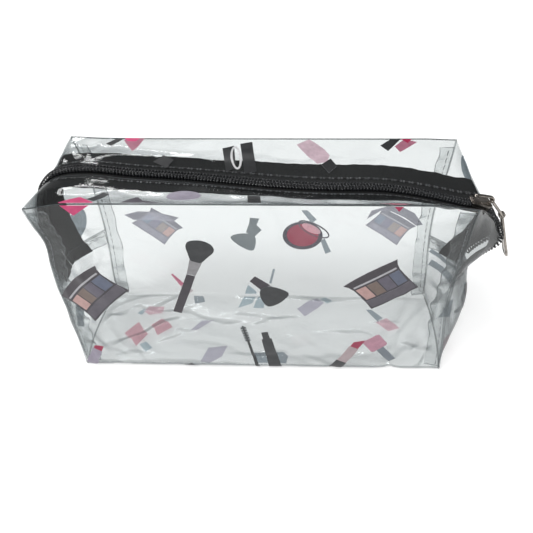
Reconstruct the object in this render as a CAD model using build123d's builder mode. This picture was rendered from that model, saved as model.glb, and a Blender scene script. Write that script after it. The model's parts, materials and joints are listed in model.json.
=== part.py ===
from build123d import *
import math
import os

# Clear makeup bag with a coil zip along its top, in millimetres.
# The origin is the centre of the base's underside. Front faces -Y, up is +Z.
# The zip closes towards +X, where the slider rests beside the right end.

# Body of the bag
bag_length = 190.0
bag_depth = 59.0
bag_height = 106.0
sheet = 0.5
fold_gap = 0.05
seam_height = 52.0
seam_bulge = 6.0
base_bulge = 0.4

# Zip: its line falls evenly from the left end to the right end
zip_middle_height = 97.2
zip_fall = 0.1023
tape_half_width = 14.5
tape_thickness = 0.5
tape_gap = 0.4
ply_gap = 0.2
ply_slack = 0.3
slot_half_width = 4.7
coil_inner = 0.15
coil_outer = 2.3
coil_low = 0.35
coil_high = 2.3
flap_half_length = 80.0
flap_end_gap = 0.4

# Living hinges along the two top folds
hinge_panel_gap = 0.4
hinge_strip_gap = 0.45

# Seams
allowance_width = 7.0
allowance_thickness = 1.0
allowance_top = 102.0
end_allowance_low = 44.5
end_allowance_high = 51.5
end_allowance_inset = 1.6
end_allowance_half_length = 27.0
stitch_length = 2.6
stitch_pitch = 4.2
stitch_size = 0.35
stitch_lift = 0.25
zip_stitch_line = 7.2
corner_stitch_inset = 2.2

# Slider, in its own plane: along the zip, across it and up from the tape
slider_x = 103.0
slider_height = 85.9
slider_tilt = 12.0
slider_length = 10.0
slider_half_width = 4.2
slider_tail_half_width = 3.5
channel_low = -0.8
channel_high = 2.6
slider_plate = 0.7
rail_width = 0.6
rail_slot = 0.6
post_near = 1.4
post_far = 4.4
post_half_width = 1.0
bail_back = -4.4
bail_front = 5.8
bail_top = 6.4
bail_wall = 0.8
bail_half_width = 0.9
bail_sill = 0.8

# Pull: a link on the bail and a tab on the link
pivot_along = 4.2
pivot_up = 4.9
link_reach = 11.2
link_angle = -50.0
link_bar_radius = 0.6
link_inner_half_width = 1.6
link_arm = 0.7
link_arm_thickness = 0.9
tab_length = 26.0
tab_angle = -71.2
tab_thickness = 1.2
tab_top_half_width = 1.3
tab_end_half_width = 3.2
knuckle_radius = 1.6
knuckle_bore = 0.68
tab_start = 1.1

half_length = bag_length / 2
half_depth = bag_depth / 2
inner_half_depth = half_depth - sheet
strip_start = half_depth - sheet / 2 - hinge_strip_gap
tape_lift = tape_thickness / 2
strip_low = tape_lift + ply_gap
strip_high = strip_low + sheet


def zip_height(x):
    """Height of the middle of the tape at a place along the straight part of the zip."""
    return zip_middle_height - x * zip_fall


def mix(first, second, share):
    """The point at a share of the way from one point to another."""
    return tuple(a + (b - a) * share for a, b in zip(first, second))


def shifted(points, distance):
    """A line of points moved sideways, to the left of its own direction."""
    moved = []
    for index, point in enumerate(points):
        before = points[max(index - 1, 0)]
        after = points[min(index + 1, len(points) - 1)]
        run = (after[0] - before[0], after[1] - before[1])
        reach = distance / math.hypot(*run)
        moved.append((point[0] - run[1] * reach, point[1] + run[0] * reach))
    return moved


def band(points, near, far):
    """The corners of a thin closed band beside a line of points."""
    return shifted(points, near) + shifted(points, far)[::-1]


def lofted(sections):
    """A ruled solid through closed outlines, each given as a plane and its corners."""
    with BuildPart() as piece:
        for plane, corners in sections:
            with BuildSketch(plane):
                with BuildLine():
                    Polyline(*corners, close=True)
                make_face()
        loft(ruled=True)
    return piece.part


def mirrored(part, plane):
    """The same piece on the other side of a plane."""
    with BuildPart() as piece:
        mirror(part, about=plane)
    return piece.part


def box(low, high):
    """A plain block between two corners."""
    centre = mix(low, high, 0.5)
    with BuildPart() as piece:
        with Locations(centre):
            Box(high[0] - low[0], high[1] - low[1], high[2] - low[2])
    return piece.part


def stitches(places, size):
    """A row of separate stitches."""
    with BuildPart() as piece:
        with Locations(*places):
            Box(*size)
    return piece.part


def save(part, name):
    part.label = name
    export_step(part, f"parts/{name}.step")


os.makedirs("parts", exist_ok=True)


# Flat panels of the folded sheet
def make_panels():
    save(box((-half_length, -half_depth, 0), (half_length, half_depth, sheet)), "base_panel")
    top = bag_height - sheet / 2 - hinge_panel_gap
    low = (-half_length, -half_depth, sheet)
    front = box(low, (half_length, -inner_half_depth, top))
    save(front, "front_panel")
    save(mirrored(front, Plane.XZ), "back_panel")


# Ends: a lower panel below the end seam, and two upper panels beside the zip
def make_lower_end():
    edge = inner_half_depth - fold_gap
    foot = half_length + base_bulge
    bulge = half_length + seam_bulge
    corners = ((half_length, -edge), (half_length, edge))
    straight = [corners[0], (foot, -slot_half_width), (foot, slot_half_width), corners[1]]
    bowed = [corners[0], (bulge, -slot_half_width), (bulge, slot_half_width), corners[1]]
    right = lofted(
        [
            (Plane.XY.offset(sheet), band(straight, 0, sheet)),
            (Plane.XY.offset(seam_height), band(bowed, 0, sheet)),
        ]
    )
    save(right, "right_end_lower")
    save(mirrored(right, Plane.YZ), "left_end_lower")
    crossing = seam_bulge * (half_depth - end_allowance_half_length) / (half_depth - slot_half_width)
    inner = (half_length + crossing, end_allowance_half_length)
    line = [(inner[0], -inner[1]), bowed[1], bowed[2], inner]
    inset = end_allowance_inset
    ribbon = band(line, inset, inset + allowance_thickness)
    right_allowance = lofted(
        [(Plane.XY.offset(height), ribbon) for height in (end_allowance_low, end_allowance_high)]
    )
    save(right_allowance, "right_end_seam_allowance")
    save(mirrored(right_allowance, Plane.YZ), "left_end_seam_allowance")
    level = (end_allowance_low + end_allowance_high) / 2
    inside = half_length + seam_bulge - inset - allowance_thickness - 2 * stitch_size
    count = int(2 * slot_half_width / stitch_pitch) + 1
    places = [(inside, (i - (count - 1) / 2) * stitch_pitch, level) for i in range(count)]
    thread = stitches(places, (stitch_size, stitch_length, stitch_size))
    save(thread, "right_end_seam_thread")
    save(mirrored(thread, Plane.YZ), "left_end_seam_thread")


# The zip turns down over each end to the end seam: points are (x, z) at the tape's middle
flap_end = flap_half_length + flap_end_gap
bulge_x = half_length + seam_bulge
upper_end_low = seam_height + sheet
corner_right = [
    (flap_end, bag_height),
    (88.0, bag_height - 0.1),
    (half_length, bag_height - 0.4),
    (half_length + 0.3, 90.0),
    (half_length + 0.4, 73.0),
    (half_length, upper_end_low),
]
zip_right = [
    (flap_end, zip_height(flap_end)),
    (96.5, 87.28),
    (109.5, 84.5),
    (113.6, 77.5),
    (117.4, 65.5),
    (bulge_x, upper_end_low),
]
corner_left = [
    (-flap_end, bag_height),
    (-88.0, bag_height - 0.1),
    (-half_length, bag_height - 0.4),
    (-half_length - 0.3, 90.0),
    (-half_length - 0.4, 75.0),
    (-half_length, upper_end_low),
]
zip_left = [
    (-flap_end, zip_height(-flap_end)),
    (-91.0, 104.2),
    (-100.0, 99.0),
    (-105.0, 88.0),
    (-106.0, 75.0),
    (-bulge_x, upper_end_low),
]
tape_share = (half_depth - tape_half_width) / (half_depth - slot_half_width)
tape_split = 1.7
end_tape_depth = 2.2
parted_inner = 2.6
parted_outer = 4.4


def make_upper_end(side, corner_line, zip_line, outward, split):
    """One end above its seam: outward is +1 where the lines' left side faces out, or -1."""
    edge = inner_half_depth - fold_gap
    skin = (strip_low * outward, strip_high * outward)
    front = lofted(
        [
            (Plane.XZ.offset(edge), band(corner_line, 0, -sheet * outward)),
            (Plane.XZ.offset(slot_half_width), band(zip_line, *skin)),
        ]
    )
    save(front, f"{side}_end_upper_front")
    save(mirrored(front, Plane.XZ), f"{side}_end_upper_back")
    under = shifted(corner_line, -end_tape_depth * outward)
    outer_line = [mix(a, b, tape_share) for a, b in zip(under, zip_line)]
    levels = ((tape_half_width, outer_line), (slot_half_width, zip_line), (split, zip_line))
    tape = lofted(
        [(Plane.XZ.offset(y), band(line[:-1], -tape_lift, tape_lift)) for y, line in levels]
    )
    save(tape, f"{side}_end_tape_front")
    save(mirrored(tape, Plane.XZ), f"{side}_end_tape_back")


def make_end_coil(side, runs, outward):
    """The coil beyond the flaps: each run is a line and the coil's inner and outer reach."""
    with BuildPart() as coil:
        for line, inner, outer in runs:
            corners = band(line, coil_low * outward, coil_high * outward)
            add(lofted([(Plane.XZ.offset(y), corners) for y in (outer, inner)]))
    save(coil.part, f"{side}_end_coil_front")
    save(mirrored(coil.part, Plane.XZ), f"{side}_end_coil_back")


# Vertical corner seams: a folded allowance inside each corner, and its thread
def make_corner_seams():
    far = half_length - sheet - fold_gap
    wall = inner_half_depth - fold_gap
    low = (far - allowance_width, -wall, sheet + fold_gap)
    allowance = box(low, (far, -wall + allowance_thickness, allowance_top))
    save(allowance, "front_right_seam_allowance")
    save(mirrored(allowance, Plane.XZ), "back_right_seam_allowance")
    left = mirrored(allowance, Plane.YZ)
    save(left, "front_left_seam_allowance")
    save(mirrored(left, Plane.XZ), "back_left_seam_allowance")
    x = far - corner_stitch_inset
    y = wall - allowance_thickness - fold_gap - stitch_size / 2
    count = int((allowance_top - stitch_pitch) / stitch_pitch)
    places = [(x, -y, stitch_pitch * (i + 1)) for i in range(count)]
    thread = stitches(places, (stitch_size, stitch_size, stitch_length))
    for name, across in (("front", thread), ("back", mirrored(thread, Plane.XZ))):
        save(across, f"{name}_right_seam_thread")
        save(mirrored(across, Plane.YZ), f"{name}_left_seam_thread")


# Top flaps: the sheet's two top strips with half of the zip sewn under each
def strip_height(x, y):
    """Height of a strip's upper face, from its fold to the edge beside the zip."""
    share = (strip_start - abs(y)) / (strip_start - slot_half_width)
    return bag_height + (zip_height(x) + strip_high - bag_height) * share


def make_flap():
    ends = (-flap_half_length, flap_half_length)
    strip_sections = []
    tape_sections = []
    coil_sections = []
    for x in ends:
        plane = Plane.YZ.offset(x)
        level = zip_height(x)
        fold = (-strip_start, bag_height)
        edge = (-slot_half_width, level + strip_high)
        strip_sections.append((plane, band([fold, edge], 0, -sheet)))
        outer = (-tape_half_width, strip_height(x, tape_half_width) - strip_high - ply_slack)
        line = [outer, (-slot_half_width, level), (-tape_gap, level)]
        tape_sections.append((plane, band(line, -tape_lift, tape_lift)))
        coil_line = [(-coil_outer, level), (-coil_inner, level)]
        coil_sections.append((plane, band(coil_line, coil_low, coil_high)))
    count = int(2 * flap_half_length / stitch_pitch)
    places = []
    for i in range(count):
        x = (i - (count - 1) / 2) * stitch_pitch
        places.append((x, -zip_stitch_line, strip_height(x, zip_stitch_line) + 2 * stitch_lift))
    thread = stitches(places, (stitch_length, stitch_size, stitch_size))
    pieces = {
        "top_strip": lofted(strip_sections),
        "zip_tape": lofted(tape_sections),
        "zip_coil": lofted(coil_sections),
        "zip_thread": thread,
    }
    for name, part in pieces.items():
        save(part, f"front_{name}")
        save(mirrored(part, Plane.XZ), f"back_{name}")


# Slider: two plates joined by a post, with rails that leave slots for the tape
tilt = math.radians(slider_tilt)
slider_plane = Plane(
    origin=(slider_x, 0, slider_height),
    x_dir=(math.cos(tilt), 0, -math.sin(tilt)),
    z_dir=(math.sin(tilt), 0, math.cos(tilt)),
)
side_plane = Plane(
    origin=slider_plane.origin,
    x_dir=slider_plane.x_dir,
    z_dir=(0, -1, 0),
)


def make_slider():
    half = slider_length / 2
    plate = [
        (-half, -slider_tail_half_width),
        (half, -slider_half_width),
        (half, slider_half_width),
        (-half, slider_tail_half_width),
    ]
    inner = [
        (-half, -slider_tail_half_width + rail_width),
        (half, -slider_half_width + rail_width),
        (half, slider_half_width - rail_width),
        (-half, slider_tail_half_width - rail_width),
    ]
    spans = (
        (channel_low - slider_plate, slider_plate, channel_low, -rail_slot),
        (channel_high, slider_plate, rail_slot, channel_high),
    )
    with BuildPart() as slider_body:
        for plate_low, plate_thickness, rail_low, rail_high in spans:
            with BuildSketch(slider_plane.offset(plate_low)):
                Polygon(*plate, align=None)
            extrude(amount=plate_thickness)
            with BuildSketch(slider_plane.offset(rail_low)):
                Polygon(*plate, align=None)
                Polygon(*inner, align=None, mode=Mode.SUBTRACT)
                with Locations((-half, 0), (half, 0)):
                    Rectangle(rail_width, 2 * slider_tail_half_width, mode=Mode.SUBTRACT)
            extrude(amount=rail_high - rail_low)
        with BuildSketch(slider_plane.offset(channel_low)):
            middle = (post_near + post_far) / 2
            corners = (
                (post_near, 0),
                (middle, -post_half_width),
                (post_far, 0),
                (middle, post_half_width),
            )
            Polygon(*corners, align=None)
        extrude(amount=channel_high - channel_low)
    save(slider_body.part, "slider_body")


def make_bail():
    foot = channel_high + slider_plate
    window = [
        (bail_back + bail_wall, foot + bail_sill),
        (bail_front - bail_wall, foot + bail_sill),
        (bail_front - bail_wall, bail_top - bail_wall),
        (bail_back + 2 * bail_wall, bail_top - bail_wall),
    ]
    with BuildPart() as slider_bail:
        with BuildSketch(side_plane):
            with BuildLine():
                Polyline(
                    (bail_back, foot),
                    (bail_back, bail_top - 2 * bail_wall),
                    (bail_back + 2 * bail_wall, bail_top),
                    (bail_front - bail_wall, bail_top),
                    (bail_front, bail_top - bail_wall),
                    (bail_front, foot + bail_sill),
                    (slider_length / 2 - bail_sill, foot),
                    close=True,
                )
            make_face()
            Polygon(*window, align=None, mode=Mode.SUBTRACT)
        extrude(amount=bail_half_width, both=True)
    save(slider_bail.part, "slider_bail")


def pull_plane(origin, angle):
    """A side plane with its first direction at an angle above the horizontal."""
    turn = math.radians(angle)
    return Plane(origin=origin, x_dir=(math.cos(turn), 0, math.sin(turn)), z_dir=(0, -1, 0))


def make_pull():
    pivot = slider_plane.from_local_coords(Vector(pivot_along, 0, pivot_up))
    link_plane = pull_plane(pivot, link_angle)
    arm_outer = link_inner_half_width + link_arm
    with BuildPart() as pull_link:
        for side in (-arm_outer, link_inner_half_width):
            with BuildSketch(link_plane.offset(side)):
                with Locations((link_reach / 2, 0)):
                    SlotCenterToCenter(link_reach, link_arm_thickness)
            extrude(amount=link_arm)
        with BuildSketch(link_plane.offset(-arm_outer)):
            with Locations((0, 0), (link_reach, 0)):
                Circle(link_bar_radius)
        extrude(amount=2 * arm_outer)
    save(pull_link.part, "pull_link")

    hang = link_plane.from_local_coords(Vector(link_reach, 0, 0))
    tab_side = pull_plane(hang, tab_angle)
    tab_face = Plane(origin=hang, x_dir=tab_side.x_dir, z_dir=tab_side.y_dir)
    with BuildPart() as pull_tab:
        with BuildSketch(tab_side.offset(-tab_top_half_width)):
            Circle(knuckle_radius)
            Circle(knuckle_bore, mode=Mode.SUBTRACT)
        extrude(amount=2 * tab_top_half_width)
        with BuildSketch(tab_face.offset(-tab_thickness / 2)):
            with BuildLine():
                shoulder = tab_length - tab_end_half_width
                Line((tab_start, -tab_top_half_width), (shoulder, -tab_end_half_width))
                ThreePointArc((shoulder, -tab_end_half_width), (tab_length, 0), (shoulder, tab_end_half_width))
                Line((shoulder, tab_end_half_width), (tab_start, tab_top_half_width))
                Line((tab_start, tab_top_half_width), (tab_start, -tab_top_half_width))
            make_face()
        extrude(amount=tab_thickness)
    save(pull_tab.part, "pull_tab")
    print("link pivot", tuple(round(v, 3) for v in pivot), "tab pivot", tuple(round(v, 3) for v in hang))


make_panels()
make_lower_end()
make_upper_end("right", corner_right, zip_right, 1, tape_split)
make_upper_end("left", corner_left, zip_left, -1, tape_gap)
shut_run = (zip_right[:2], coil_inner, coil_outer)
parted_run = (zip_right[2:-1], parted_inner, parted_outer)
make_end_coil("right", (shut_run, parted_run), 1)
make_end_coil("left", ((zip_left[:-1], coil_inner, coil_outer),), -1)
make_corner_seams()
make_flap()
make_slider()
make_bail()
make_pull()
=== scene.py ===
import json
import math

import bpy
import numpy as np
from mathutils import Matrix, Vector
from mathutils.geometry import delaunay_2d_cdt


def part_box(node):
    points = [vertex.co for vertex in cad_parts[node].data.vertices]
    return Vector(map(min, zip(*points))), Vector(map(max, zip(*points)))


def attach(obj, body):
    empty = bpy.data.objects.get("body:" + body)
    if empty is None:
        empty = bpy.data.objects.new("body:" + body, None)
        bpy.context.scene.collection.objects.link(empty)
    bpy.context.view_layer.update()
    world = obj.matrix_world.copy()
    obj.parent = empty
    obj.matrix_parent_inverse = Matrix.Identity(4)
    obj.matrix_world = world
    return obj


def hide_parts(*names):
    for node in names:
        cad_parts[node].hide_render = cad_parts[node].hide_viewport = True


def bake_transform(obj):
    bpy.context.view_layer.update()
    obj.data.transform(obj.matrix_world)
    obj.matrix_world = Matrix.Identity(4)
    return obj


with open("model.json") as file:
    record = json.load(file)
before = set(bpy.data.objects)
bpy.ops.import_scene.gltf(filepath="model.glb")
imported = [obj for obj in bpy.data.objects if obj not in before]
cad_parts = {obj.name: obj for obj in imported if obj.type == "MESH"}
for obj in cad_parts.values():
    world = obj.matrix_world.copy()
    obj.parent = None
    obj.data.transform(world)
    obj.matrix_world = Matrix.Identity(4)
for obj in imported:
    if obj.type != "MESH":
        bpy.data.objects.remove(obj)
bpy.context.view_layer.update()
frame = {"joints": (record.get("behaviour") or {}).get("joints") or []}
MM = 0.001
FRONT = -1
BACK = 1
LEFT = -1
RIGHT = 1
SIDE_NAMES = {LEFT: "left", RIGHT: "right"}
FACE_NAMES = {FRONT: "front", BACK: "back"}
QUARTERS = [(side, face) for side in (LEFT, RIGHT) for face in (FRONT, BACK)]

# ---------------------------------------------------------------- dimensions, in mm, from the frame
joints = {joint["name"]: joint for joint in frame["joints"]}
panel_low, panel_high = (np.array(corner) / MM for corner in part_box("base_panel"))
SHEET = float(panel_high[2] - panel_low[2])
HALF_LENGTH = float(panel_high[0])
HALF_DEPTH = float(panel_high[1]) - SHEET / 2
FOLD_HEIGHT = joints["front_flap_fold"]["pos_m"][2] / MM
travel = joints["slider_travel"]["axis"]
ZIP_FALL = -travel[2] / travel[0]
coil_low, coil_high = (np.array(corner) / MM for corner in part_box("front_zip_coil"))
COIL_LOW = 0.35
ZIP_MIDDLE = float(coil_low[2]) - COIL_LOW + ZIP_FALL * float(coil_high[0])
LINK_PIVOT = np.array(joints["link_swing"]["pos_m"]) / MM
TAB_PIVOT = np.array(joints["tab_swing"]["pos_m"]) / MM

SLOT_HALF = 4.7
TAPE_HALVES = {FRONT: 14.5, BACK: 15.8}
TAPE_THICKNESS = 0.45
TAPE_DEPTH = 0.5
STRIP_LIFT = 0.55
FOLD_RADIUS = 2.5
BASE_LIFT = 0.62
BASE_HALF = HALF_DEPTH - FOLD_RADIUS
QUARTER_ARC = FOLD_RADIUS * math.pi / 2
PANEL_RISE = FOLD_HEIGHT - BASE_LIFT
TOP_V = BASE_HALF + QUARTER_ARC + PANEL_RISE - FOLD_RADIUS
GRID_STEP = 1.25


# ---------------------------------------------------------------- small helpers
def smooth(share):
    """A gentle step from 0 to 1."""
    share = np.clip(share, 0.0, 1.0)
    return share * share * (3.0 - 2.0 * share)


def mix(a, b, share):
    return a + (b - a) * share


def grid_of(u, v):
    """Every u with every v."""
    return np.meshgrid(u, v, indexing="ij")


def through(stops, values, at):
    """A smooth curve through the values at rising stops."""
    stops = np.asarray(stops, float)
    values = np.asarray(values, float)
    slopes = np.gradient(values, stops, axis=0)
    at = np.clip(at, stops[0], stops[-1])
    i = np.clip(np.searchsorted(stops, at, side="right") - 1, 0, len(stops) - 2)
    span = stops[i + 1] - stops[i]
    t = (at - stops[i]) / span
    if values.ndim > 1:
        t = t[..., None]
        span = span[..., None]
    return (
        values[i] * (2 * t**3 - 3 * t**2 + 1)
        + slopes[i] * span * (t**3 - 2 * t**2 + t)
        + values[i + 1] * (3 * t**2 - 2 * t**3)
        + slopes[i + 1] * span * (t**3 - t**2)
    )


def unit(vectors):
    """The vectors' directions."""
    length = np.linalg.norm(vectors, axis=-1, keepdims=True)
    return vectors / np.maximum(length, 1e-12)


def chord(points):
    """The distance run along a line of points."""
    steps = np.linalg.norm(np.diff(points, axis=0), axis=1)
    return np.concatenate([[0.0], np.cumsum(steps)])


def zip_level(x):
    """Height of the middle of the tape on the straight part of the zip."""
    return ZIP_MIDDLE - x * ZIP_FALL


# ---------------------------------------------------------------- the bag's shape
# The four corner seams, from the base up: height, then x and y of the seam.
CORNERS = {
    (RIGHT, FRONT): [
        (0, 94.6, -29.3), (15, 94.4, -26), (38, 94, -19.5), (52, 94.8, -17.5),
        (66, 95, -18), (80, 94.3, -21), (95, 92.6, -25.5), (105, 91.5, -29.4),
    ],
    (RIGHT, BACK): [
        (0, 98, 28.8), (25, 94.5, 24.5), (50, 92.4, 26), (66, 92.6, 28),
        (88, 95.4, 29.8), (105, 96.0, 29.6),
    ],
    (LEFT, FRONT): [
        (0, -94.3, -29.3), (22, -97.5, -24), (34, -99.2, -21.6), (48, -102, -19),
        (60, -102.6, -17.5), (82, -98.6, -23), (95, -99, -27.5), (105, -99.6, -30),
    ],
    (LEFT, BACK): [
        (0, -91.5, 28.6), (14, -90.5, 25.5), (42, -88.6, 24.5), (56, -89.4, 27),
        (72, -90.8, 29), (94, -93.8, 30.6), (105, -96.4, 30.4),
    ],
}
# The middle of each lower end panel: height, then x.
END_MIDDLES = {
    RIGHT: [(0, 98.5), (10, 103.5), (22, 107.0), (35, 108.0), (45, 106.5), (56, 104.5)],
    LEFT: [(0, -96.5), (10, -99.5), (25, -102.6), (40, -104.0), (52, -103.4), (60, -103.0)],
}
# How far each top fold sinks at its corner, and how far in from the end it starts to.
CREASE_DROPS = {(RIGHT, FRONT): 1.9, (RIGHT, BACK): 0.6, (LEFT, FRONT): 2.2, (LEFT, BACK): -0.4}
CREASE_FROM = 78.0
CREASE_RUN = 17.0
END_ROUNDING = 2.4
END_EASE_FROM = 30.0
PINCH_FROM = 52.0
PINCH_POWER = 1.8


def corner_at(side, face, height):
    """x and y of a corner seam at a height."""
    table = np.array(CORNERS[side, face], float)
    return through(table[:, 0], table[:, 1:], height)


def end_edge(side, across, height):
    """x and y of an end at a place across it, from -1 at the front seam to 1 at the back seam."""
    share = (across + 1.0) / 2.0
    front = corner_at(side, FRONT, height)
    back = corner_at(side, BACK, height)
    line = mix(front, back, share[..., None])
    table = np.array(END_MIDDLES[side], float)
    middle = through(table[:, 0], table[:, 1], height)
    centre = (front[..., 0] + back[..., 0]) / 2
    bulge = (middle - centre) * (1.0 - np.abs(across) ** END_ROUNDING)
    line[..., 0] += bulge
    return line


def crease_height(x, face):
    """Height of a top fold, which is straight between the flap's ends and sinks to the corners."""
    drop = np.where(x > 0, CREASE_DROPS[RIGHT, face], CREASE_DROPS[LEFT, face])
    return FOLD_HEIGHT - drop * smooth((np.abs(x) - CREASE_FROM) / CREASE_RUN)


def body_points(u, v):
    """The folded sheet: u runs along the bag, v from the front fold under the base to the back fold."""
    u, v = np.broadcast_arrays(np.asarray(u, float), np.asarray(v, float))
    reach = np.abs(v)
    turn = np.clip((reach - BASE_HALF) / FOLD_RADIUS, 0.0, math.pi / 2)
    out = np.sign(v) * (np.minimum(reach, BASE_HALF) + FOLD_RADIUS * np.sin(turn))
    wall = np.maximum(reach - BASE_HALF - QUARTER_ARC, 0.0)
    rise = FOLD_RADIUS * (1.0 - np.cos(turn)) + wall
    across = np.clip(out / HALF_DEPTH, -1.0, 1.0)
    x = u
    y = middle = across * HALF_DEPTH
    for side in (RIGHT, LEFT):
        end = end_edge(side, across, rise)
        to_end = smooth((side * u - END_EASE_FROM) / (HALF_LENGTH - END_EASE_FROM))
        x = x + to_end * (end[..., 0] - side * HALF_LENGTH)
        pinch = np.clip((side * u - PINCH_FROM) / (HALF_LENGTH - PINCH_FROM), 0.0, 1.0) ** PINCH_POWER
        y = y + pinch * (end[..., 1] - middle)
    top = np.where(v > 0, crease_height(u, BACK), crease_height(u, FRONT))
    z = BASE_LIFT + rise * (top - BASE_LIFT) / PANEL_RISE
    return np.stack([x, y, z], axis=-1)


# Matching places on the fold and on the zip, from the middle over the end: x along the fold and height down
# the corner seam, then x and z of the zip.
RIGHT_STATIONS = [
    (-6, FOLD_HEIGHT, -6, zip_level(-6)), (0, FOLD_HEIGHT, 0, zip_level(0)),
    (30, FOLD_HEIGHT, 30, zip_level(30) + 1.1), (60, FOLD_HEIGHT, 60, zip_level(60) + 3.4),
    (80, FOLD_HEIGHT, 80, zip_level(80) + 1.9), (88, FOLD_HEIGHT, 95.5, 87.1),
    (95, FOLD_HEIGHT, 105, 85.2), (95, 98, 109.8, 81.4), (95, 90, 113, 76),
    (95, 80, 115.4, 70.6), (95, 73, 115.2, 68.4), (95, 64, 111.4, 64.4), (95, 58, 106.6, 59.6),
    (95, 54, 103.6, 54.6), (95, 49, 101.4, 48.5),
]
LEFT_STATIONS = [
    (6, FOLD_HEIGHT, 6, zip_level(6)), (0, FOLD_HEIGHT, 0, zip_level(0)),
    (-30, FOLD_HEIGHT, -30, zip_level(-30)), (-60, FOLD_HEIGHT, -60, 102.5),
    (-80, FOLD_HEIGHT, -80, 104.4), (-88, FOLD_HEIGHT, -89, 103.8),
    (-95, FOLD_HEIGHT, -97, 101), (-95, 97, -101.8, 96.5), (-95, 90, -105, 88.5),
    (-95, 80, -106.8, 78), (-95, 70, -106.4, 68), (-95, 62, -105, 59.5), (-95, 56, -103.4, 53),
    (-95, 49, -101, 46.5),
]
STATIONS = {RIGHT: RIGHT_STATIONS, LEFT: LEFT_STATIONS}
END_SEAM_TOP = 65.0
END_SEAM_BACK_DROP = 5.0


def wall_v(height, face):
    """v of a height on the front or back panel."""
    return face * (BASE_HALF + QUARTER_ARC + np.asarray(height, float) - BASE_LIFT - FOLD_RADIUS)


class Lines:
    """The zip's path and the fold beside it, at a distance run along the zip."""

    def __init__(self, side, face):
        table = np.array(STATIONS[side], float)
        drop = END_SEAM_BACK_DROP if face == BACK else 0.0
        heights = np.where(table[:, 1] < END_SEAM_TOP, table[:, 1] - drop, table[:, 1])
        self.stops = chord(table[:, 2:]) - abs(table[0, 2])
        self.side = side
        self.face = face
        self.zip = table[:, 2:]
        self.fold = np.stack([table[:, 0], heights], axis=1)
        self.seam = float(self.stops[-2])
        self.end = float(self.stops[-1])

    def zip_at(self, t):
        """Points on the zip's centreline."""
        place = through(self.stops, self.zip, np.asarray(t, float))
        return np.stack([place[..., 0], np.zeros_like(place[..., 0]), place[..., 1]], axis=-1)

    def fold_at(self, t):
        """Points on the fold and the corner seam."""
        u = np.interp(t, self.stops, self.fold[:, 0])
        height = np.interp(t, self.stops, self.fold[:, 1])
        return body_points(u, wall_v(height, self.face))

    def lift_at(self, t):
        """The direction away from the inside of the bag, across the zip."""
        step = 0.5
        along = unit(self.zip_at(np.asarray(t) + step) - self.zip_at(np.asarray(t) - step))
        lift = np.stack([-along[..., 2], along[..., 1] * 0, along[..., 0]], axis=-1)
        return lift * self.side


def undulation(seed, count, low, high):
    """A seeded sum of soft waves over a sheet, about 1 high."""
    rng = np.random.default_rng(seed)
    turns = rng.uniform(0, math.pi, count)
    waves = rng.uniform(low, high, count)
    phases = rng.uniform(0, 2 * math.pi, count)
    sizes = rng.uniform(0.5, 1.0, count)

    def height(a, b):
        total = np.zeros_like(a, float)
        for turn, wave, phase, size in zip(turns, waves, phases, sizes):
            total += size * np.sin((a * np.cos(turn) + b * np.sin(turn)) * 2 * math.pi / wave + phase)
        return total / sizes.sum() * 1.6

    return height


def creases(seed, areas):
    """Seeded narrow wrinkles, from areas listed like BODY_WRINKLES."""
    rng = np.random.default_rng(seed)
    made = []
    for centre, spread, count, size, length, heading in areas:
        for _ in range(count):
            place = np.array(centre) + rng.normal(0, 1, 2) * np.array(spread)
            turn = math.radians(heading + rng.normal(0, 16))
            rise = size * rng.uniform(0.5, 1.0) * rng.choice([-1, 1])
            reach = length * rng.uniform(0.6, 1.3)
            width, bend = rng.uniform(1.8, 3.8), rng.uniform(-0.02, 0.02)
            made.append((place, turn, rise, reach, width, bend))

    def height(a, b):
        total = np.zeros_like(a, float)
        for place, turn, size, length, width, bend in made:
            along = (a - place[0]) * math.cos(turn) + (b - place[1]) * math.sin(turn)
            off = -(a - place[0]) * math.sin(turn) + (b - place[1]) * math.cos(turn)
            off = off + bend * along**2
            total += size * np.exp(-((off / width) ** 2) - (along / length) ** 2)
        return total

    return height


class Surface:
    """A grid of points on a sheet's middle, with its outward direction."""

    def __init__(self, u, v, points, outward, ripple=None):
        self.u = np.asarray(u, float)
        self.v = np.asarray(v, float)
        self.outward = outward
        self.points = points
        self.normals = self.facing()
        if ripple is not None:
            self.points = self.points + self.normals * ripple[..., None]
            self.normals = self.facing()

    def facing(self):
        along = np.gradient(self.points, self.u, axis=0)
        across = np.gradient(self.points, self.v, axis=1)
        return unit(np.cross(along, across)) * self.outward

    def at(self, u, v, lift=0.0):
        """Points on the sheet at u and v, raised off its middle."""
        u = np.clip(np.asarray(u, float), self.u[0], self.u[-1])
        v = np.clip(np.asarray(v, float), self.v[0], self.v[-1])
        i = np.clip(np.searchsorted(self.u, u, side="right") - 1, 0, len(self.u) - 2)
        j = np.clip(np.searchsorted(self.v, v, side="right") - 1, 0, len(self.v) - 2)
        a = ((u - self.u[i]) / (self.u[i + 1] - self.u[i]))[..., None]
        b = ((v - self.v[j]) / (self.v[j + 1] - self.v[j]))[..., None]

        def blended(grid):
            near = mix(grid[i, j], grid[i + 1, j], a)
            far = mix(grid[i, j + 1], grid[i + 1, j + 1], a)
            return mix(near, far, b)

        lift = np.asarray(lift, float)[..., None]
        return blended(self.points) + unit(blended(self.normals)) * lift


def steps(low, high, step, extra=()):
    """Evenly spread places, with some exact ones added."""
    count = max(2, int(math.ceil((high - low) / step)) + 1)
    places = np.concatenate([np.linspace(low, high, count), np.asarray(extra, float)])
    places = np.unique(np.round(places, 4))
    keep = np.concatenate([[True], np.diff(places) > step * 0.1])
    return places[keep]


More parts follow.
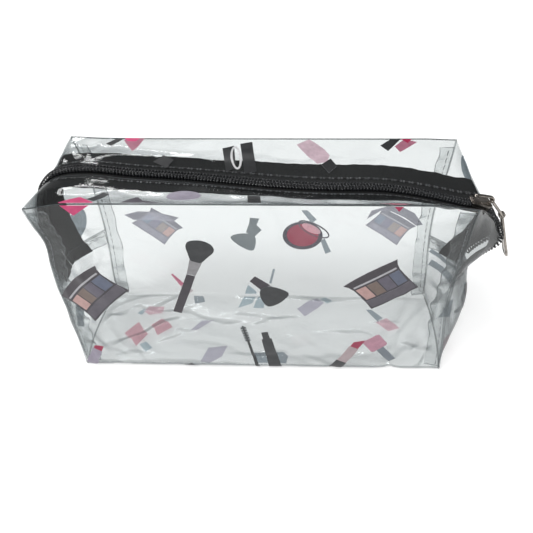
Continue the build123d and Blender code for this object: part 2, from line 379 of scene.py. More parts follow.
# Wrinkles: where and how far they spread, how many, how high, how long and their heading in degrees.
BODY_WRINKLES = [
    ((-70, -8), (13, 12), 22, 1.5, 11, 20),
    ((-78, -38), (9, 10), 12, 1.0, 11, 60),
    ((70, -8), (13, 10), 18, 1.2, 11, -25),
    ((80, -60), (7, 20), 12, 0.7, 14, 80),
    ((84, -40), (5, 9), 12, 0.9, 8, 110),
    ((-84, -95), (6, 20), 8, 0.7, 14, 85),
    ((0, -36), (50, 5), 14, 0.7, 16, 4),
    ((0, 0), (55, 14), 34, 1.1, 17, 6),
    ((0, 110), (50, 12), 10, 0.5, 22, 4),
    ((0, -110), (50, 10), 9, 0.45, 24, 2),
]
STRIP_WRINKLES = [
    ((0, -22), (55, 4), 16, 0.45, 12, 3),
    ((0, 20), (55, 5), 14, 0.45, 12, -3),
    ((-88, 22), (6, 6), 6, 0.7, 9, 60),
    ((-88, -22), (6, 6), 6, 0.6, 9, 120),
    ((90, 20), (6, 5), 6, 0.6, 9, 120),
    ((90, -20), (6, 5), 6, 0.6, 9, 60),
    ((104, -13), (5, 4), 12, 0.9, 8, 35),
    ((104, 13), (5, 4), 8, 0.8, 8, -35),
    ((-103, -13), (4, 4), 9, 0.8, 8, -40),
    ((-103, 13), (4, 4), 9, 0.8, 8, 40),
]
LOWER_END_WRINKLES = [
    ((0, 12), (12, 8), 9, 0.9, 10, 10),
    ((-14, 30), (8, 12), 8, 0.7, 12, 80),
    ((14, 34), (8, 10), 6, 0.6, 10, 100),
]
# Soft waves: the seed, how many, and their shortest and longest wavelength.
BODY_WAVES = (4, 7, 45, 110)
BODY_RIPPLES = (9, 8, 16, 34)
STRIP_WAVES = (31, 6, 26, 60)
BODY_SEED = 21
STRIP_SEED = 52
LOWER_END_SEED = 77
LOWER_END_WAVE_SEED = 61
# How far from a seam, a fold or the base's edge the wrinkles reach their full height.
SIDE_FADE = 7.0
FOLD_FADE = 9.0
BASE_FADE = 3.0
SEAM_FADE = 6.0
END_FADE = 0.15
BODY_SWELL = 0.6
BODY_RIPPLE = 0.14
BASE_SWELL = 0.55
BASE_SWELL_SCALE = 1.7
STRIP_START = -4.0
STRIP_CROWN = 0.4
STRIP_SAG = 0.8
STRIP_SAG_FROM = 0.35
LOWER_END_SWELL = 0.7


def make_body():
    """The folded sheet with swells and wrinkles, which only go inwards on the base, so that it lies flat."""
    u = steps(-HALF_LENGTH, HALF_LENGTH, GRID_STEP)
    v = steps(-TOP_V, TOP_V, GRID_STEP, [-BASE_HALF, BASE_HALF])
    uu, vv = grid_of(u, v)
    soft = undulation(*BODY_WAVES)
    fine = undulation(*BODY_RIPPLES)
    folds = creases(BODY_SEED, BODY_WRINKLES)
    side_fade = smooth((HALF_LENGTH - np.abs(uu)) / SIDE_FADE)
    top_fade = smooth((TOP_V - np.abs(vv)) / FOLD_FADE)
    ripple = BODY_SWELL * soft(uu, vv) + BODY_RIPPLE * fine(uu, vv) + folds(uu, vv)
    ripple = ripple * side_fade * top_fade
    base_share = smooth((BASE_HALF - np.abs(vv)) / BASE_FADE)
    swell = (1.0 + soft(uu * BASE_SWELL_SCALE, vv * BASE_SWELL_SCALE)).clip(0, 2)
    inward = -BASE_SWELL * swell + np.minimum(folds(uu, vv), 0.0)
    low_share = smooth((BASE_HALF + QUARTER_ARC + 4.0 - np.abs(vv)) / 6.0)
    ripple = mix(ripple, np.minimum(ripple, 0.0), low_share)
    ripple = mix(ripple, inward * side_fade, base_share)
    return Surface(u, v, body_points(uu, vv), -1, ripple)


def make_strip(side, face):
    """A top strip and the upper end beside it: u runs along the zip, v from the zip's edge to the fold."""
    lines = Lines(side, face)
    stops = [s for s in lines.stops if STRIP_START < s < lines.seam]
    u = steps(STRIP_START, lines.seam, GRID_STEP, [*stops, 0.0])
    v = steps(0.0, 1.0, 0.055)
    uu, vv = grid_of(u, v)
    edge = lines.zip_at(uu) + lines.lift_at(uu) * STRIP_LIFT
    edge[..., 1] += face * SLOT_HALF
    points = mix(edge, lines.fold_at(uu), vv[..., None])
    x = points[..., 0]
    y = points[..., 1]
    soft = undulation(*STRIP_WAVES)
    folds = creases(STRIP_SEED, STRIP_WRINKLES)
    straight = smooth((92.0 - np.abs(x)) / 14.0)
    sag_share = smooth((vv - STRIP_SAG_FROM) / (1.0 - STRIP_SAG_FROM))
    sag = np.where(vv < 0.42, 0.0, 1.0) * np.sin(math.pi * sag_share) * STRIP_SAG
    crown = np.sin(math.pi * vv) * STRIP_CROWN
    waves = 0.4 * soft(x, y) * np.sin(math.pi * vv) + folds(x, y) * smooth((1.0 - vv) / 0.2)
    ripple = mix(crown + 0.3 * waves, waves - sag, straight) * smooth(vv / 0.12)
    seam_fade = smooth((lines.seam - uu) / SEAM_FADE)
    return lines, Surface(u, v, points, side * face, ripple * seam_fade)


body = make_body()
strips = {}
zip_lines = {}
for side, face in QUARTERS:
    zip_lines[side, face], strips[side, face] = make_strip(side, face)


def seam_line(side):
    """The end seam, from the front corner over the zip to the back corner."""
    front = strips[side, FRONT]
    back = strips[side, BACK]
    return np.concatenate([front.points[-1, ::-1], back.points[-1]])


def make_lower_end(side):
    """The panel below an end seam: u runs from front to back and v from the base to the seam."""
    u = steps(-1.0, 1.0, 0.03)
    v = steps(0.0, 1.0, 0.028)
    uu, vv = grid_of(u, v)
    line = seam_line(side)
    run = chord(line)
    top = np.stack([np.interp((u + 1) / 2 * run[-1], run, line[:, k]) for k in range(3)], axis=-1)
    low = body.at(np.full_like(u, side * HALF_LENGTH), u * BASE_HALF)
    height = low[:, None, 2] + (top[:, None, 2] - low[:, None, 2]) * vv
    place = end_edge(side, uu, height)
    points = np.concatenate([place, height[..., None]], axis=-1)
    up_share = smooth((vv - 0.55) / 0.45)[..., None]
    down_share = smooth((0.3 - vv) / 0.3)[..., None]
    points = points + (top[:, None] - points[:, -1:]) * up_share
    points = points + (low[:, None] - points[:, :1]) * down_share
    soft = undulation(LOWER_END_WAVE_SEED + side, 6, 22, 48)
    folds = creases(LOWER_END_SEED + side, LOWER_END_WRINKLES)
    y = points[..., 1]
    z = points[..., 2]
    fade = smooth((1 - np.abs(uu)) / 0.25) * smooth(vv / END_FADE) * smooth((1 - vv) / END_FADE)
    ripple = (LOWER_END_SWELL * soft(y, z) + folds(y, z)) * fade
    return Surface(u, v, points, side, ripple)


lower_ends = {side: make_lower_end(side) for side in (LEFT, RIGHT)}


# ---------------------------------------------------------------- materials
def linear(red, green, blue):
    """A colour given as it looks on a screen, 0 to 255."""
    parts = []
    for part in (red, green, blue):
        c = part / 255.0
        parts.append(c / 12.92 if c <= 0.04045 else ((c + 0.055) / 1.055) ** 2.4)
    return (*parts, 1.0)


class Nodes:
    """A short way to build the nodes of a material or a world."""

    def __init__(self, owner, output="OutputMaterial"):
        owner.use_nodes = True
        self.owner = owner
        self.tree = owner.node_tree
        self.tree.nodes.clear()
        self.out = self.add(output)

    def add(self, kind, values=(), **settings):
        """A node with its settings, and values on its sockets by name or by number."""
        node = self.tree.nodes.new("ShaderNode" + kind)
        for key, value in settings.items():
            setattr(node, key, value)
        for key, value in dict(values).items():
            node.inputs[key].default_value = value
        return node

    def join(self, source, target):
        self.tree.links.new(source, target)

    def coordinates(self, kind="Object", scale=(1, 1, 1)):
        """Texture coordinates, stretched by three factors."""
        source = self.add("TexCoord")
        mapping = self.add("Mapping", {"Scale": scale})
        self.join(source.outputs[kind], mapping.inputs["Vector"])
        return mapping.outputs["Vector"]

    def noise(self, vector, scale, detail=3.0, rough=0.55):
        node = self.add("TexNoise", {"Scale": scale, "Detail": detail, "Roughness": rough})
        self.join(vector, node.inputs["Vector"])
        return node.outputs["Fac"]

    def wave(self, vector, direction, values):
        node = self.add("TexWave", values, wave_type="BANDS", bands_direction=direction)
        self.join(vector, node.inputs["Vector"])
        return node.outputs["Fac"]

    def maths(self, operation, first, second):
        """Two values put together; the second is a link or a number."""
        node = self.add("Math", operation=operation)
        self.join(first, node.inputs[0])
        if isinstance(second, float):
            node.inputs[1].default_value = second
        else:
            self.join(second, node.inputs[1])
        return node.outputs[0]

    def facing(self, normal):
        """From 0 where a surface is seen straight on to 1 where it is seen edge on."""
        node = self.add("LayerWeight", {"Blend": 0.5})
        self.join(normal, node.inputs["Normal"])
        return node.outputs["Facing"]

    def ramp(self, source, stops):
        node = self.add("ValToRGB")
        ramp = node.color_ramp
        while len(ramp.elements) < len(stops):
            ramp.elements.new(0.5)
        for element, (place, colour) in zip(ramp.elements, stops):
            element.position = place
            element.color = colour
        self.join(source, node.inputs["Fac"])
        return node.outputs["Color"]

    def span(self, source, low, high):
        """A value from 0 to 1 spread between two others."""
        node = self.add("MapRange", {"To Min": low, "To Max": high})
        self.join(source, node.inputs["Value"])
        return node.outputs["Result"]

    def bump(self, height, strength, distance):
        node = self.add("Bump", {"Strength": strength, "Distance": distance})
        self.join(height, node.inputs["Height"])
        return node.outputs["Normal"]

    def principled(self, values=(), **links):
        """The main shader, with values by socket name and links by socket name in small letters."""
        node = self.add("BsdfPrincipled", values)
        for key, source in links.items():
            self.join(source, node.inputs[key.replace("_", " ").title()])
        return node

    def mixed(self, share, first, second):
        """Two shaders mixed by a link or a number."""
        node = self.add("MixShader")
        if isinstance(share, float):
            node.inputs["Fac"].default_value = share
        else:
            self.join(share, node.inputs["Fac"])
        self.join(first.outputs[0], node.inputs[1])
        self.join(second.outputs[0], node.inputs[2])
        return node

    def finish(self, shader):
        self.join(shader.outputs[0], self.out.inputs["Surface"])
        return self.owner


def material_nodes(name):
    return Nodes(bpy.data.materials.new(name))


def grey(level):
    """An even grey, given as the amount of light."""
    return (level, level, level, 1.0)


def scaled(colour, factor, lift=0.0):
    """A colour made lighter or darker."""
    return tuple(min(1.0, c * factor + lift) for c in colour[:3]) + (1.0,)


MILK = linear(236, 240, 243)
HAZE_WHITE = linear(232, 236, 240)
MIRROR_SPAN = (0.028, 0.5)


def clear_material(name, face_tint, edge_tint, haze, gloss_rough=0.06, wobble=0.3):
    """Thin clear PVC: it darkens where it is seen edge on, mirrors by angle and has a faint milky haze."""
    n = material_nodes(name)
    vector = n.coordinates()
    fine = n.span(n.noise(vector, 900.0, 2.0), 0.0, 0.12)
    normal = n.bump(n.maths("ADD", n.noise(vector, 140.0, 2.0), fine), wobble, 0.0006)
    stops = [(0.0, face_tint), (0.3, face_tint), (0.82, edge_tint), (1.0, scaled(edge_tint, 0.3))]
    passing = n.add("BsdfTransparent")
    n.join(n.ramp(n.facing(normal), stops), passing.inputs["Color"])
    milk = n.add("BsdfTranslucent", {"Color": MILK})
    white = n.add("BsdfDiffuse", {"Color": HAZE_WHITE})
    patches = n.span(n.noise(vector, 30.0, 3.0), haze * 0.4, haze * 1.6)
    veil = n.mixed(patches, passing, n.mixed(0.5, milk, white))
    mirror = n.add("BsdfGlossy", {"Roughness": gloss_rough, "Color": grey(0.95)})
    n.join(normal, mirror.inputs["Normal"])
    steep = n.maths("POWER", n.facing(normal), 5.0)
    return n.finish(n.mixed(n.span(steep, *MIRROR_SPAN), veil, mirror))


def join_material():
    """The hidden butt where two halves of one strip meet: nothing of it shows."""
    n = material_nodes("pvc_join")
    return n.finish(n.add("BsdfTransparent", {"Color": grey(1.0)}))


def woven_material(name, dark, light):
    """Woven polyester tape: fine ribs along and across, with lint and a soft sheen."""
    n = material_nodes(name)
    vector = n.coordinates("UV")
    ribs = {"Distortion": 0.6, "Detail": 1.0}
    warp = n.wave(vector, "X", {"Scale": 520.0, **ribs})
    weave = n.maths("MULTIPLY", warp, n.wave(vector, "Y", {"Scale": 640.0, **ribs}))
    lint = n.noise(vector, 700.0, 5.0, 0.8)
    shade = n.add("MixRGB", {2: dark}, blend_type="MIX")
    n.join(lint, shade.inputs["Fac"])
    n.join(n.ramp(weave, [(0.0, dark), (0.8, light)]), shade.inputs[1])
    shader = n.principled(
        {"Sheen Weight": 0.06, "Sheen Roughness": 0.5, "Specular IOR Level": 0.3},
        base_color=shade.outputs[0],
        roughness=n.span(lint, 0.62, 0.9),
        normal=n.bump(weave, 0.6, 0.00012),
    )
    return n.finish(shader)


def mottled(name, pattern, stops, roughness, bump, values=()):
    """A material whose colour, roughness and bump follow the one pattern that a function makes."""
    n = material_nodes(name)
    cloud = pattern(n, n.coordinates())
    shader = n.principled(
        values,
        base_color=n.ramp(cloud, stops),
        roughness=n.span(cloud, *roughness),
        normal=n.bump(cloud, *bump),
    )
    return n, shader


def nylon_material(name, dark, light, rough):
    """Nylon monofilament with small scuffs."""
    n, shader = mottled(
        name,
        lambda n, vector: n.noise(vector, 1400.0),
        [(0.3, dark), (0.75, light)],
        (rough - 0.08, rough + 0.12),
        (0.25, 0.00005),
    )
    return n.finish(shader)


def thread_material(name, dark, light):
    """Twisted sewing thread."""
    n, shader = mottled(
        name,
        lambda n, vector: n.wave(vector, "DIAGONAL", {"Scale": 1500.0, "Distortion": 1.5}),
        [(0.2, dark), (0.9, light)],
        (0.45, 0.75),
        (0.5, 0.00006),
    )
    return n.finish(shader)


def metal_material(name):
    """Plated zinc, slightly warm, with fine scratches and duller patches."""
    n = material_nodes(name)
    cloud = n.noise(n.coordinates(), 350.0, 4.0, 0.6)
    scratch = n.noise(n.coordinates("Object", (300, 3000, 500)), 2.0, 3.0, 0.7)
    shader = n.principled(
        {"Metallic": 1.0},
        base_color=n.ramp(cloud, [(0.25, linear(104, 100, 95)), (0.7, linear(178, 171, 164))]),
        roughness=n.span(cloud, 0.12, 0.3),
        normal=n.bump(scratch, 0.2, 0.00004),
    )
    return n.finish(shader)


def ink_material(name, colour, see_through):
    """Screen-printed ink: faint mottling and a low gloss. Its pale back lets some light through, and it
    glows in its own colour: painted light for the light that shines through it from behind.
    """
    # Painted light: the back of the ink glows in its own colour, standing in for light shining through it.
    glow = {"Emission Color": colour, "Emission Strength": PAINTED_INK_GLOW} if see_through else {}
    n, shader = mottled(
        name,
        lambda n, vector: n.noise(vector, 420.0, 4.0, 0.65),
        [(0.3, scaled(colour, 0.88)), (0.7, scaled(colour, 1.14, 0.006))],
        (0.32, 0.5),
        (0.12, 0.00004),
        glow,
    )
    if see_through:
        shader = n.mixed(see_through, shader, n.add("BsdfTransparent"))
    return n.finish(shader)


pvc = clear_material("clear_pvc", linear(247, 248, 248), linear(197, 200, 201), 0.005)
pvc_edge = clear_material("clear_pvc_cut_edge", linear(214, 216, 216), linear(110, 113, 114), 0.22, 0.15)
pvc_fold = clear_material(
    "clear_pvc_allowance", linear(246, 247, 247), linear(152, 156, 157), 0.035, 0.08, 1.6
)
# Darker tint for the ridge along the top folds: painted shade for the dark line that a tight fold shows.
pvc_painted_crease_shade = clear_material("clear_pvc_painted_crease_shade", linear(205, 208, 208), linear(84, 87, 88), 0.02, 0.1)
pvc_join = join_material()
tape_weave = woven_material("black_tape", linear(7, 8, 9), linear(42, 45, 47))
coil_nylon = nylon_material("black_coil", linear(22, 23, 25), linear(52, 54, 57), 0.22)
black_thread = thread_material("black_thread", linear(14, 14, 15), linear(64, 64, 66))
seam_thread = thread_material("seam_thread", linear(70, 74, 78), linear(150, 154, 158))
nickel = metal_material("nickel_plate")

# Each ink's colour and the colour of its back, which is worked out where it is None.
INKS = {
    "plum": ((67, 61, 69), (168, 166, 177)),
    "band": ((96, 91, 102), (178, 176, 187)),
    "frame": ((70, 64, 74), (84, 77, 90)),
    "black": ((54, 57, 60), (138, 146, 150)),
    "jet": ((36, 38, 41), None),
    "ferrule": ((160, 159, 162), None),
    "mirror": ((196, 195, 200), (216, 216, 222)),
    "blue": ((104, 113, 136), (158, 170, 186)),
    "violet": ((103, 98, 114), (158, 156, 172)),
    "brown": ((132, 113, 104), (186, 174, 167)),
    "skin": ((212, 170, 164), (228, 190, 180)),
    "pink": ((240, 66, 132), None),
    "crimson": ((194, 34, 86), None),
    "dusty": ((190, 116, 140), (236, 190, 199)),
    "rose": ((206, 150, 170), (240, 208, 216)),
    "pale": ((224, 196, 208), None),
    "lilac": ((172, 164, 182), (208, 204, 216)),
    "ice": ((166, 180, 192), (192, 206, 212)),
    "slate": ((128, 138, 148), (165, 174, 181)),
    "red": ((226, 16, 66), (172, 22, 66)),
    "lip": ((176, 44, 84), (216, 116, 148)),
    "flesh": ((196, 176, 180), (228, 216, 220)),
    "white": ((236, 236, 238), None),
}
UNDERBASE = (244, 247, 250)
UNDERPRINT = 0.56
FRESH_UNDERPRINT = 0.2
INK_DEPTH = 0.86
INK_GREYING = 0.04
THIN_INK = (0.25, 0.5)
# Strength of the painted glow on the backs of the inks.
PAINTED_INK_GLOW = 0.8
ink_cache = {}


def ink(name, faded):
    """An ink, or with faded over 0 its back, where the white print under it shows."""
    key = (name, faded)
    if key not in ink_cache:
        colour, back = INKS[name]
        level = sum(colour) / 3
        plain = [mix(c, level, INK_GREYING) * INK_DEPTH for c in colour]
        seen = [mix(c, w, faded) for c, w in zip(plain, UNDERBASE)]
        if faded > 0 and back:
            seen = back
        see_through = mix(*THIN_INK, sum(seen) / (3 * 255.0)) if faded > 0 else 0.0
        ink_cache[key] = ink_material(f"ink_{name}_{int(faded * 100)}", linear(*seen), see_through)
    return ink_cache[key]


# ---------------------------------------------------------------- meshes
class Shape:
    """Points and faces gathered for one object, in millimetres."""

    def __init__(self):
        self.points = []
        self.faces = []
        self.inks = []
        self.layout = []
        self.count = 0

    def add(self, points, faces, slot=0, layout=None):
        points = np.asarray(points, float).reshape(-1, 3)
        self.points.append(points)
        self.faces += [tuple(i + self.count for i in face) for face in faces]
        slots = slot if isinstance(slot, list) else [slot] * len(faces)
        self.inks += slots
        self.layout.append(points[:, :2] if layout is None else np.asarray(layout, float))
        self.count += len(points)

    def build(self, name, materials, slot_name, sharp=40.0):
        mesh = bpy.data.meshes.new(name)
        points = np.concatenate(self.points) * MM
        mesh.from_pydata(points.tolist(), [], self.faces)
        for material in materials:
            mesh.materials.append(material)
        mesh.polygons.foreach_set("material_index", self.inks)
        uv = np.concatenate(self.layout) * MM
        corners = np.zeros(len(mesh.loops), np.int32)
        mesh.loops.foreach_get("vertex_index", corners)
        layer = mesh.uv_layers.new(name="flat")
        layer.data.foreach_set("uv", uv[corners].astype(np.float32).ravel())
        mesh.shade_smooth()
        mesh.set_sharp_from_angle(angle=math.radians(sharp))
        mesh.update()
        obj = bpy.data.objects.new(name, mesh)
        bpy.context.scene.collection.objects.link(obj)
        return obj


def sheet_faces(rows, columns, flip, wall_slots):
    """Faces of a closed thin sheet: its outer side, its inner side and its four walls."""
    index = np.arange(rows * columns).reshape(rows, columns)
    under = index + rows * columns
    a, b = index[:-1, :-1].ravel(), index[1:, :-1].ravel()
    c, d = index[1:, 1:].ravel(), index[:-1, 1:].ravel()
    ua, ub = under[:-1, :-1].ravel(), under[1:, :-1].ravel()
    uc, ud = under[1:, 1:].ravel(), under[:-1, 1:].ravel()
    faces = list(zip(a, b, c, d)) + list(zip(ud, uc, ub, ua))
    slots = [0] * len(faces)
    rims = (
        (index[:, 0], under[:, 0], 0),
        (index[:, -1][::-1], under[:, -1][::-1], 1),
        (index[0][::-1], under[0][::-1], 2),
        (index[-1], under[-1], 3),
    )
    for top, low, which in rims:
        for k in range(len(top) - 1):
            faces.append((top[k + 1], top[k], low[k], low[k + 1]))
            slots.append(wall_slots[which])
    faces = [tuple(int(i) for i in face) for face in faces]
    if flip:
        faces = [face[::-1] for face in faces]
    return faces, slots


def sheet_shape(surface, thickness, wall_slots=(1, 1, 1, 1), rows=None):
    """A closed thin sheet over a surface. Wall slots are for v low, v high, u low and u high."""
    shape = Shape()
    chosen = slice(None) if rows is None else rows
    points = surface.points[chosen]
    normals = surface.normals[chosen]
    u = surface.u[chosen]
    half = thickness / 2
    count = points.shape[:2]
    faces, slots = sheet_faces(count[0], count[1], surface.outward < 0, wall_slots)
    both = np.concatenate(
        [(points + normals * half).reshape(-1, 3), (points - normals * half).reshape(-1, 3)]
    )
    width = np.linalg.norm(points[:, -1] - points[:, 0], axis=1).mean()
    spread = surface.v if surface.v[-1] > 2 else surface.v * width
    uu, vv = grid_of(u, spread)
    flat = np.stack([uu.ravel(), vv.ravel()], axis=-1)
    shape.add(both, faces, slots, np.concatenate([flat, flat]))
    return shape


def bands(count, sides, closed=False):
    """The faces between rings of points that follow each other."""
    faces = []
    for i in range(count if closed else count - 1):
        near, far = i * sides, (i + 1) % count * sides
        for k in range(sides):
            m = (k + 1) % sides
            faces.append((near + k, near + m, far + m, far + k))
    return faces


def tube(points, radius, sides=8, closed=False, flat=1.0, up=None):
    """Points and faces of a round wire along a line of points, with closed ends."""
    points = np.asarray(points, float)
    count = len(points)
    if closed:
        along = unit(np.roll(points, -1, axis=0) - np.roll(points, 1, axis=0))
    else:
        along = unit(np.gradient(points, axis=0))
    first = np.array([0.0, 0.0, 1.0]) if up is None else np.asarray(up, float)
    if abs(along[0] @ first) > 0.95:
        first = np.array([0.0, 1.0, 0.0])
    frames = []
    normal = first
    for direction in along:
        normal = normal - direction * (normal @ direction)
        normal = normal / np.linalg.norm(normal)
        frames.append(normal)
    normals = np.array(frames)
    binormals = np.cross(along, normals)
    turn = np.linspace(0, 2 * math.pi, sides, endpoint=False)
    radius = np.broadcast_to(np.asarray(radius, float), (count,))
    ring = (
        normals[:, None] * np.cos(turn)[None, :, None] * flat
        + binormals[:, None] * np.sin(turn)[None, :, None]
    )
    rings = points[:, None] + ring * radius[:, None, None]
    faces = bands(count, sides, closed)
    if not closed:
        faces.append(tuple(range(sides))[::-1])
        faces.append(tuple((count - 1) * sides + k for k in range(sides)))
    return rings.reshape(-1, 3), faces


def inside(outline, points):
    """Which points lie inside a closed outline."""
    x, y = points[:, 0], points[:, 1]
    hit = np.zeros(len(points), bool)
    for (x0, y0), (x1, y1) in zip(outline, np.roll(outline, -1, axis=0)):
        crosses = (y0 > y) != (y1 > y)
        with np.errstate(divide="ignore", invalid="ignore"):
            at = (x1 - x0) * (y - y0) / (y1 - y0) + x0
        hit ^= crosses & (x < at)
    return hit


def filled(outline, step):
    """Small triangles that fill an outline, and their edge."""
    outline = np.asarray(outline, float)
    dense = []
    for a, b in zip(outline, np.roll(outline, -1, axis=0)):
        count = max(1, int(np.linalg.norm(b - a) / step))
        dense += [mix(a, b, k / count) for k in range(count)]
    dense = np.array(dense)
    low, high = dense.min(axis=0), dense.max(axis=0)
    xs = np.arange(low[0] + step / 2, high[0], step)
    ys = np.arange(low[1] + step / 2, high[1], step)
    grid = np.stack(np.meshgrid(xs, ys), axis=-1).reshape(-1, 2)
    if len(grid):
        grid = grid[inside(dense, grid)]
        gaps = np.linalg.norm(grid[:, None] - dense[None], axis=2)
        grid = grid[gaps.min(axis=1) > step * 0.45] if len(grid) else grid
    places = [Vector(p) for p in np.concatenate([dense, grid])]
    count = len(dense)
    edges = [(i, (i + 1) % count) for i in range(count)]
    found = delaunay_2d_cdt(places, edges, [], 1, 1e-6)
    flat = np.array([(p.x, p.y) for p in found[0]])
    faces = []
    for face in found[2]:
        a, b, c = (flat[i] for i in face)
        area = (b[0] - a[0]) * (c[1] - a[1]) - (b[1] - a[1]) * (c[0] - a[0])
        faces.append(tuple(face) if area > 0 else tuple(face)[::-1])
    return flat, faces


def rim_of(faces):
    """The directed edges that only one face has."""
    edges = {(face[k], face[(k + 1) % len(face)]) for face in faces for k in range(len(face))}
    return [edge for edge in edges if (edge[1], edge[0]) not in edges]


INK_GAP = 0.2
INK_THICKNESS = 0.02
LAYER_RISE = 0.06


def add_patch(shape, surface, where, outline, layer, slots, step=1.0):
    """A thin closed patch of ink on the outer side of a sheet."""
    flat, faces = filled(outline, step)
    if not faces:
        return
    u, v = where(flat)
    low = SHEET / 2 + INK_GAP - LAYER_RISE * layer
    high = SHEET / 2 + INK_GAP + INK_THICKNESS + LAYER_RISE * layer
    outer = surface.at(u, v, np.full(len(flat), high))
    inner = surface.at(u, v, np.full(len(flat), low))
    count = len(flat)
    jacobian = np.cross(
        surface.at(*where(flat[:1] + [[0.1, 0.0]])) - surface.at(*where(flat[:1])),
        surface.at(*where(flat[:1] + [[0.0, 0.1]])) - surface.at(*where(flat[:1])),
    )[0]
    forward = float(jacobian @ (outer[0] - inner[0])) > 0
    tops = faces if forward else [face[::-1] for face in faces]
    lows = [tuple(i + count for i in face[::-1]) for face in tops]
    walls = [(b, a, a + count, b + count) for a, b in rim_of(tops)]
    all_slots = [slots[0]] * len(tops) + [slots[1]] * (len(lows) + len(walls))
    shape.add(np.concatenate([outer, inner]), tops + lows + walls, all_slots)


# ---------------------------------------------------------------- the clear sheets
BAG = "bag"


def blend_half(obj):
    """Bakes the object's placement into its mesh."""
    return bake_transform(obj)


body_piece = sheet_shape(body, SHEET).build("folded_sheet", [pvc, pvc_edge], "clear_pvc")
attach(body_piece, BAG)
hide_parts("base_panel", "front_panel", "back_panel")


for side in (LEFT, RIGHT):
    name = SIDE_NAMES[side]
    lower = sheet_shape(lower_ends[side], SHEET).build(f"{name}_lower_end", [pvc, pvc_edge], "clear_pvc")
    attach(lower, BAG)
    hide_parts(f"{name}_end_lower")
    for face in (FRONT, BACK):
        strip = strips[side, face]
        kept = strip.u >= -1e-6
        shape = sheet_shape(strip, SHEET, (1, 1, 2, 1), kept)
        piece = shape.build(
            f"{FACE_NAMES[face]}_strip_{name}", [pvc, pvc_edge, pvc_join], "clear_pvc"
        )
        blend_half(piece)
        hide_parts(f"{FACE_NAMES[face]}_top_strip", f"{name}_end_upper_{FACE_NAMES[face]}")


# ---------------------------------------------------------------- seams
def wavy(seed, size):
    """A seeded sum of waves along a line."""
    rng = np.random.default_rng(seed)
    phases = rng.uniform(0, 6.28, 4)
    waves = rng.uniform(7, 26, 4)

    def height(t):
        total = sum(np.sin(t * 2 * math.pi / w + p) for w, p in zip(waves, phases))
        return size * total / 2.2

    return height


ALLOWANCE = 7.0
ALLOWANCE_TOP = 102.0
ALLOWANCE_SHEET = 0.9
ALLOWANCE_SEED = 100
CRINKLE_SEED = 160
END_ALLOWANCE_SEED = 140
TAPE_EDGE_SEED = 170
CRINKLE = [((52, 0.7), (30, 0.3), 44, 0.7, 3.4, 90)]
STITCH_PITCH = 4.2
STITCH_LENGTH = 2.7
STITCH_POINTS = 7
STITCH_INSET = 2.4
HOLE_RADIUS = 0.42
CORNER_RIDGE = 0.55
END_RIDGE = 0.5
FOLD_RIDGE = 0.34
RIDGE_SIDES = 8


def make_allowance(side, face):
    """A corner seam's turned-in edge: a narrow double strip inside the panel, wavy along its free side."""
    wave = wavy(ALLOWANCE_SEED + 7 * side + face, 0.8)
    height = steps(3.0, ALLOWANCE_TOP, 1.5)
    across = steps(0.0, 1.0, 0.16)
    hh, aa = grid_of(height, across)
    inset = 0.35 + aa * (ALLOWANCE + 0.5 * wave(hh * 0.7))
    crinkle = creases(CRINKLE_SEED + 7 * side + face, CRINKLE)
    depth = 0.75 + (aa**1.5) * (0.7 + 0.9 * wave(hh) + crinkle(hh, aa * ALLOWANCE / 3)).clip(0.0, 2.6)
    points = body.at(side * (HALF_LENGTH - inset), wall_v(hh, face), -depth)
    return Surface(height, across, points, side * face)


def stitch_path(lift, length, sink=0.15):
    """Places along one stitch and their heights: it rises out of one hole and sinks into the next."""
    share = np.linspace(-0.5, 0.5, STITCH_POINTS)
    return share * length, lift * (1 - (2 * share) ** 4) - sink


def add_stitches(shape, surface, places, lift, radius, along_u):
    """Short lengths of thread on a sheet, at places given as u and v."""
    share, rise = stitch_path(lift, STITCH_LENGTH)
    for u, v in places:
        uu = u + share if along_u else np.full_like(share, u)
        vv = np.full_like(share, v) if along_u else v + share
        shape.add(*tube(surface.at(uu, vv, rise), radius, 6))


def add_holes(shape, surface, places, lift):
    """The raised rim of sheet round each needle hole."""
    turn = np.linspace(0, 2 * math.pi, 9, endpoint=False)
    for u, v, per_v in places:
        ring_u = u + HOLE_RADIUS * np.cos(turn)
        ring_v = v + HOLE_RADIUS * np.sin(turn) * per_v
        shape.add(*tube(surface.at(ring_u, ring_v, np.full(9, lift)), 0.15, 5, closed=True))


def corner_seam(side, face):
    """A corner seam: its turned-in edge, its row of stitches and the ridge of its fold."""
    name = f"{FACE_NAMES[face]}_{SIDE_NAMES[side]}"
    allowance = sheet_shape(make_allowance(side, face), ALLOWANCE_SHEET)
    piece = allowance.build(f"{name}_allowance", [pvc_fold, pvc_edge], "clear_pvc")
    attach(piece, BAG)
    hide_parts(f"{name}_seam_allowance")
    threads = Shape()
    heights = np.arange(6.0, ALLOWANCE_TOP - 3, STITCH_PITCH)
    places = [(side * (HALF_LENGTH - STITCH_INSET), wall_v(h, face)) for h in heights]
    add_stitches(threads, body, places, 0.42, 0.17, False)
    thread = threads.build(f"{name}_seam_stitches", [seam_thread], "seam_thread")
    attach(thread, BAG)
    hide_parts(f"{name}_seam_thread")
    bead = Shape()
    heights = np.concatenate([np.arange(1.0, FOLD_HEIGHT - 1, 2.0), [FOLD_HEIGHT - 0.8]])
    line = body.at(np.full_like(heights, side * HALF_LENGTH), wall_v(heights, face))
    bead.add(*tube(line, CORNER_RIDGE, RIDGE_SIDES))
    ridge = bead.build(f"{name}_seam_ridge", [pvc_fold], "clear_pvc")
    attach(ridge, BAG)


END_SPAN = 0.94
END_STITCH_SPAN = 1.84
THROUGH_DROP = 1.1


